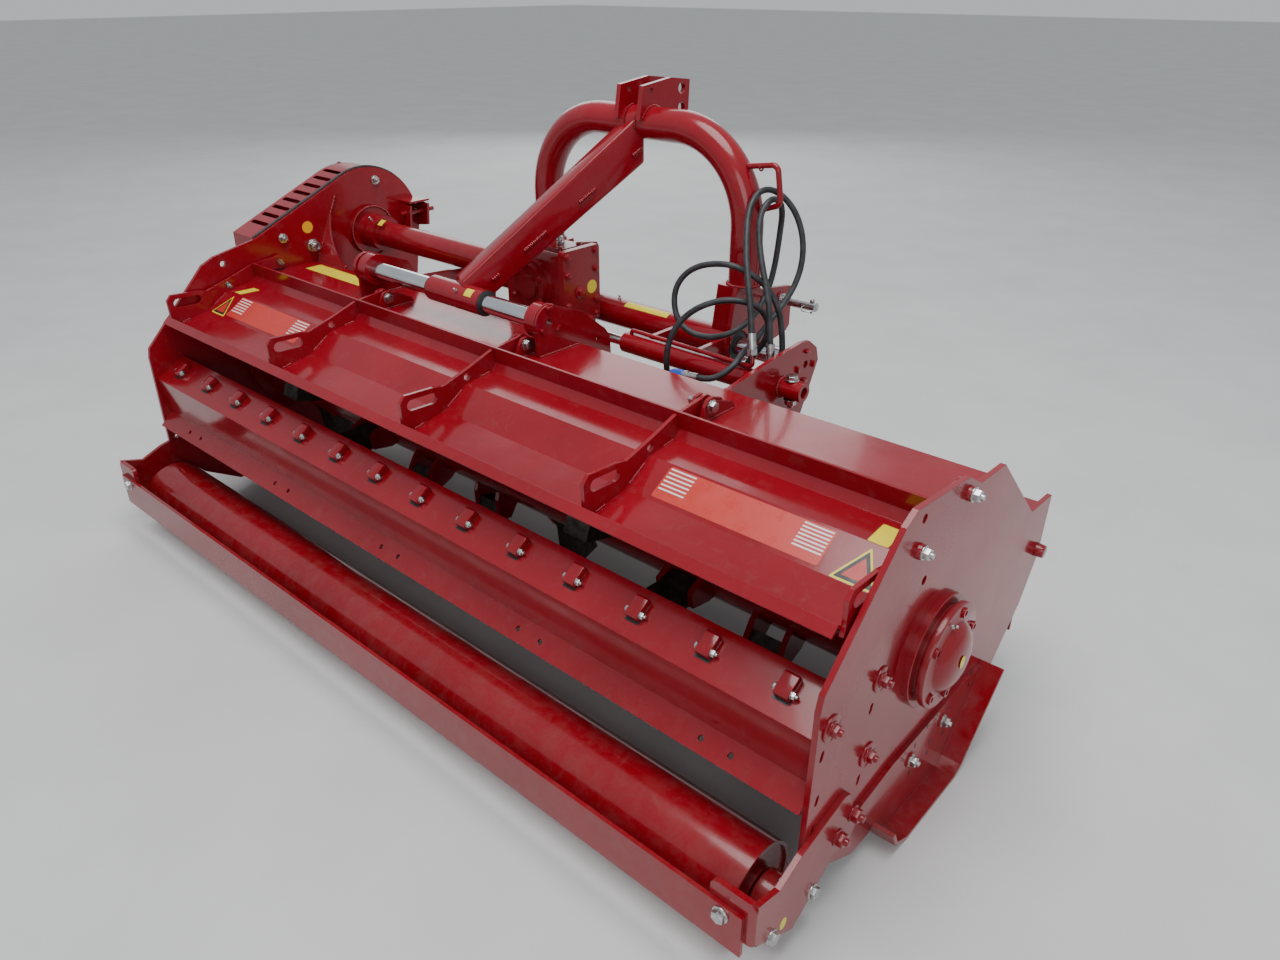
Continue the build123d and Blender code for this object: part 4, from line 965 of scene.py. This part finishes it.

# %% [markdown]
# ### Slots of the skids
# The skids have small oval slots, and the shade inside them makes them look dark from outside. They are too
# small for their depth to show, so flat dark ovals paint that shade on the skids.

# %% Skid slots, painted as shade
SKID_SLOTS = ((29, 168), (115, 92), (51, 118), (50, 89), (-15, 152), (-19, 90), (210, 180), (209, 152),
              (115, 155))
bm = bmesh.new()
for side, direction in SIDES:
    for y, z in SKID_SLOTS:
        # each dark oval is painted shade over a slot
        add_round_patch(bm, at(side * (SIDE_X + SKID), y, z), direction, 3.2, 1.9)
hand_over(bm, "skid_slot_shade", "housing", BLACK)

# %% [markdown]
# ### Stickers on tubes
# The drive tube and both sleeves carry a strip that follows the tube. A flat plate would stand off, so one edge
# is spun part of the way round the tube's axis, and the strip gets its thickness straight out from the axis.
# The round sticker inside the guard is flat again.


# %% Curved stickers
def add_tube_patch(bm, x_from, x_to, axis, radius, angle_from, angle_to):
    """A sticker on a tube that runs along x."""
    before = set(bm.faces)
    centre = at(0, *axis)
    y, z, _ = on_tube(*axis, radius + 0.05, angle_from)
    edge = bm.edges.new([bm.verts.new(at(x_from, y, z)), bm.verts.new(at(x_to, y, z))])
    bmesh.ops.spin(bm, geom=[edge, *edge.verts], cent=centre, axis=RIGHT,
                   angle=radians(angle_to - angle_from), steps=10, use_duplicate=False)
    moved, _ = extrude(bm, [f for f in bm.faces if f not in before])
    for v in moved:
        away = v.co - centre
        away.x = 0
        v.co += away.normalized() * 0.35 / 1000


bm = bmesh.new()
add_tube_patch(bm, -952, -930, DRIVE_AXIS, 52, 112, 136)
hand_over(bm, "drive_sticker", "housing", YELLOW)

bm = bmesh.new()
add_tube_patch(bm, -60, 84, FRONT_ROD, 36, 97, 128)
add_tube_patch(bm, -214, -188, REAR_ROD, 31.5, 112, 150)
hand_over(bm, "sleeve_stickers", "headstock", YELLOW)

bm = bmesh.new()
add_round_patch(bm, at(GUARD_X, 154, 723), RIGHT, 17)
hand_over(bm, "guard_sticker", "housing", ORANGE)

# %% [markdown]
# ### Gearbox trim
# Bolts stand round the covers of the casting, a plug closes the filling hole, and a breather stands on the top
# plate. All of them are heads and drums, so the bolt helpers make them too.

# %% Gearbox bolts, plug and breather
INPUT_X = -226
GEARBOX_TOP = 778
COVER_CIRCLE = 56
bm = bmesh.new()
for y in (300, 400):
    for z in (604, 644, 722, 768):
        add_head(bm, at(GEARBOX_X, y, z), RIGHT, 9)
for k in range(6):
    a = radians(30 + 60 * k)
    u, v = COVER_CIRCLE * cos(a), COVER_CIRCLE * sin(a)
    add_head(bm, at(INPUT_X + u, 268, DRIVE_AXIS[1] + v), REAR, 8)
    add_head(bm, at(-346, DRIVE_AXIS[0] + u, DRIVE_AXIS[1] + v), LEFT, 8)
plug = stand(at(GEARBOX_X, 343, 672), RIGHT)
add_drum(bm, plug, 0.016, 0.016, 0, 0.003, 28, 0.0008)
add_drum(bm, plug, 0.0125, 0.0125, 0.003, 0.012, 6, 0.001)
add_drum(bm, plug, 0.006, 0.006, 0.011, 0.013, 20)
for x, y in ((INPUT_X, 322), (-156, 322), (INPUT_X, 388), (-156, 388)):
    add_head(bm, at(x, y, GEARBOX_TOP), UP, 7)
hand_over(bm, "gearbox_bolts", "housing", PAINT_CAST)

bm = bmesh.new()
breather = stand(at(-190, 356, GEARBOX_TOP), UP)
add_drum(bm, breather, 0.010, 0.010, 0, 0.007, 6, 0.001)
add_drum(bm, breather, 0.006, 0.006, 0.007, 0.012, 18)
add_drum(bm, breather, 0.010, 0.008, 0.012, 0.020, 24, 0.002)
hand_over(bm, "gearbox_breather", "housing", ZINC)

# %% [markdown]
# ### Clamp bolt
# The tube of the end plate is crossed by one long zinc bolt. Only its two ends show, so the shank is left out.

# %% Clamp bolt
bm = bmesh.new()
add_head(bm, at(506, 380, 588), UP, 14)
add_nut(bm, at(506, 380, 544), DOWN, 14)
hand_over(bm, "clamp_bolt", "housing", ZINC)

# %% [markdown]
# ### Seals and end discs
# Rubber lip seals close both sleeves where they slide on the chromed rods, and a welded disc closes each end of
# the roller. All are flat rings, spun from a small rectangle.


# %% Seals of the sleeves and discs of the roller
def add_ring(bm, matrix, r_out, r_in, start, end, sides=40):
    """A flat ring: a rectangle's outline spun once round the matrix's z axis, in metres."""
    corners = [(r_in, start), (r_out, start), (r_out, end), (r_in, end)]
    verts = [bm.verts.new(matrix @ Vector((r, 0, z))) for r, z in corners]
    edges = [bm.edges.new((verts[k], verts[(k + 1) % 4])) for k in range(4)]
    spin_round(bm, verts + edges, matrix.translation, matrix.to_3x3() @ Vector(UP), sides)


bm = bmesh.new()
for x, direction, axis, r in ((-165, RIGHT, REAR_ROD, 30), (-360, LEFT, REAR_ROD, 30),
                              (287, RIGHT, FRONT_ROD, 34), (-385, LEFT, FRONT_ROD, 34)):
    add_ring(bm, stand(at(x, *axis), direction), r / 1000, 0.0228, 0, 0.004)
hand_over(bm, "sleeve_seals", "headstock", RUBBER)

bm = bmesh.new()
for side, direction in SIDES:
    add_ring(bm, stand(at(side * 989.5, ROLLER_Y, ROLLER_Z), direction), 0.0773, 0.0378, 0, 0.0095, 64)
hand_over(bm, "roller_discs", "roller", PAINT_LOW)

# %% [markdown]
# ### Linch pins
# Each hitch pin is held by a short pin with a sprung ring through its end. The ring is a small circle spun once
# round the ring's own axis, which leans a little.

# %% Linch pins
PIN_END = LINK_HALF + 10 + 82
RING_R = 0.017
bm = bmesh.new()
for side in (-1, 1):
    x = HEAD_X + side * PIN_END
    pin = stand(at(x, *HITCH), UP)
    add_drum(bm, pin, 0.0035, 0.0035, -0.017, 0.019, 16, 0.0006)
    add_drum(bm, pin, 0.006, 0.006, 0.012, 0.018, 20, 0.001)
    ring = stand(at(x, HITCH[0] - 17, HITCH[1]), (0, -0.25 * side, 0.97))
    wire = ring @ Matrix.Translation((RING_R, 0, 0)) @ Matrix.Rotation(pi / 2, 4, "X")
    circle = bmesh.ops.create_circle(bm, segments=12, radius=0.0013, matrix=wire)
    rim = list({e for v in circle["verts"] for e in v.link_edges})
    spin_round(bm, circle["verts"] + rim, ring.translation, ring.to_3x3() @ Vector(UP), 36)
hand_over(bm, "linch_pins", "headstock", ZINC)

# %% [markdown]
# ### Hydraulic hoses
# Two hoses leave the side shift cylinder, climb over the hook on the right leg and lie in loose turns on the
# sloping deck, where their couplings rest under dust caps. A hose is a fixed length of something stiff, so
# each one is a smooth NURBS spline through the route of its CAD solid.

# %% Hose routes, in the drawing's millimetres
SHORT_ROUTE = [
    (421.5, 336, 688.6), (415, 341, 715), (404, 350, 746), (385, 365, 788), (359, 390, 833),
    (337, 418, 875), (321, 443, 911), (314, 467, 938), (315, 494, 955), (329, 521, 956),
    (352, 546, 933), (374, 560, 898), (391, 565, 850), (398, 560, 797), (395, 542, 746),
    (388, 505, 704), (385, 460, 675), (390, 412, 655), (399, 372, 646), (402, 343, 642),
    (409, 317, 637), (412, 292, 626), (403, 271, 611), (387, 256, 599), (366, 250, 592),
    (345, 249, 590)]
LONG_ROUTE = [
    (445.5, 375.7, 658.6), (439, 380, 694), (430, 386, 737), (405, 401, 785), (375, 421, 834),
    (354, 440, 876), (343, 458, 910), (342, 479, 932), (345, 504, 941), (348, 529, 928),
    (345, 543, 900), (340, 547, 866), (338, 545, 826), (336, 541, 785), (333, 533, 745),
    (333, 513, 713), (339, 484, 694), (348, 450, 684), (350, 416, 673), (341, 387, 661),
    (320, 367, 650), (288, 356, 642), (249, 349, 643), (213, 345, 660), (191, 349, 695),
    (187, 356, 735), (202, 366, 769), (232, 377, 793), (272, 388, 805), (315, 400, 807),
    (353, 417, 792), (384, 431, 769), (408, 438, 739), (423, 443, 703), (431, 443, 664),
    (437, 440, 624), (443, 432, 590), (450, 424, 556), (452, 415, 523), (451.5, 409, 492),
    (436.5, 404, 466), (410.5, 400, 451), (380.5, 397, 451), (354.5, 395, 466), (339.5, 395, 492),
    (340.5, 396, 524), (352, 399, 557), (370, 402, 589), (391, 407, 619), (409, 412, 650),
    (416, 412, 682), (411, 403, 710), (398, 384, 735), (370, 362, 745), (338, 339, 745),
    (304, 318, 733), (273, 299, 710), (250, 284, 678), (240, 272, 643), (238, 268, 608),
    (236, 271, 574), (232, 285, 547), (229, 306, 529), (229, 320, 519.5)]
HOSE_DIAMETER = 0.014
SHORT_LENGTH = 0.987
LONG_LENGTH = 2.30
print("routes through", len(SHORT_ROUTE), "and", len(LONG_ROUTE), "places")


# %% Hose as a NURBS spline
def lay_hose(name, route, length, solid):
    curve = bpy.data.curves.new(name, "CURVE")
    curve.dimensions = "3D"
    curve.resolution_u = 6
    curve.bevel_depth = HOSE_DIAMETER / 2
    curve.bevel_resolution = 5
    curve.use_fill_caps = True
    spline = curve.splines.new("NURBS")
    spline.points.add(len(route) - 1)
    for point, place in zip(spline.points, route):
        point.co = (*at(*place), 1)
    spline.order_u = 3
    spline.use_endpoint_u = True
    curve.materials.append(HOSE)
    hose = add_object(name, curve)
    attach(hose, "headstock")
    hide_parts(solid)
    print(name, length, "m")


lay_hose("short_hose", SHORT_ROUTE, SHORT_LENGTH, "hose_short")
lay_hose("long_hose", LONG_ROUTE, LONG_LENGTH, "hose_long")
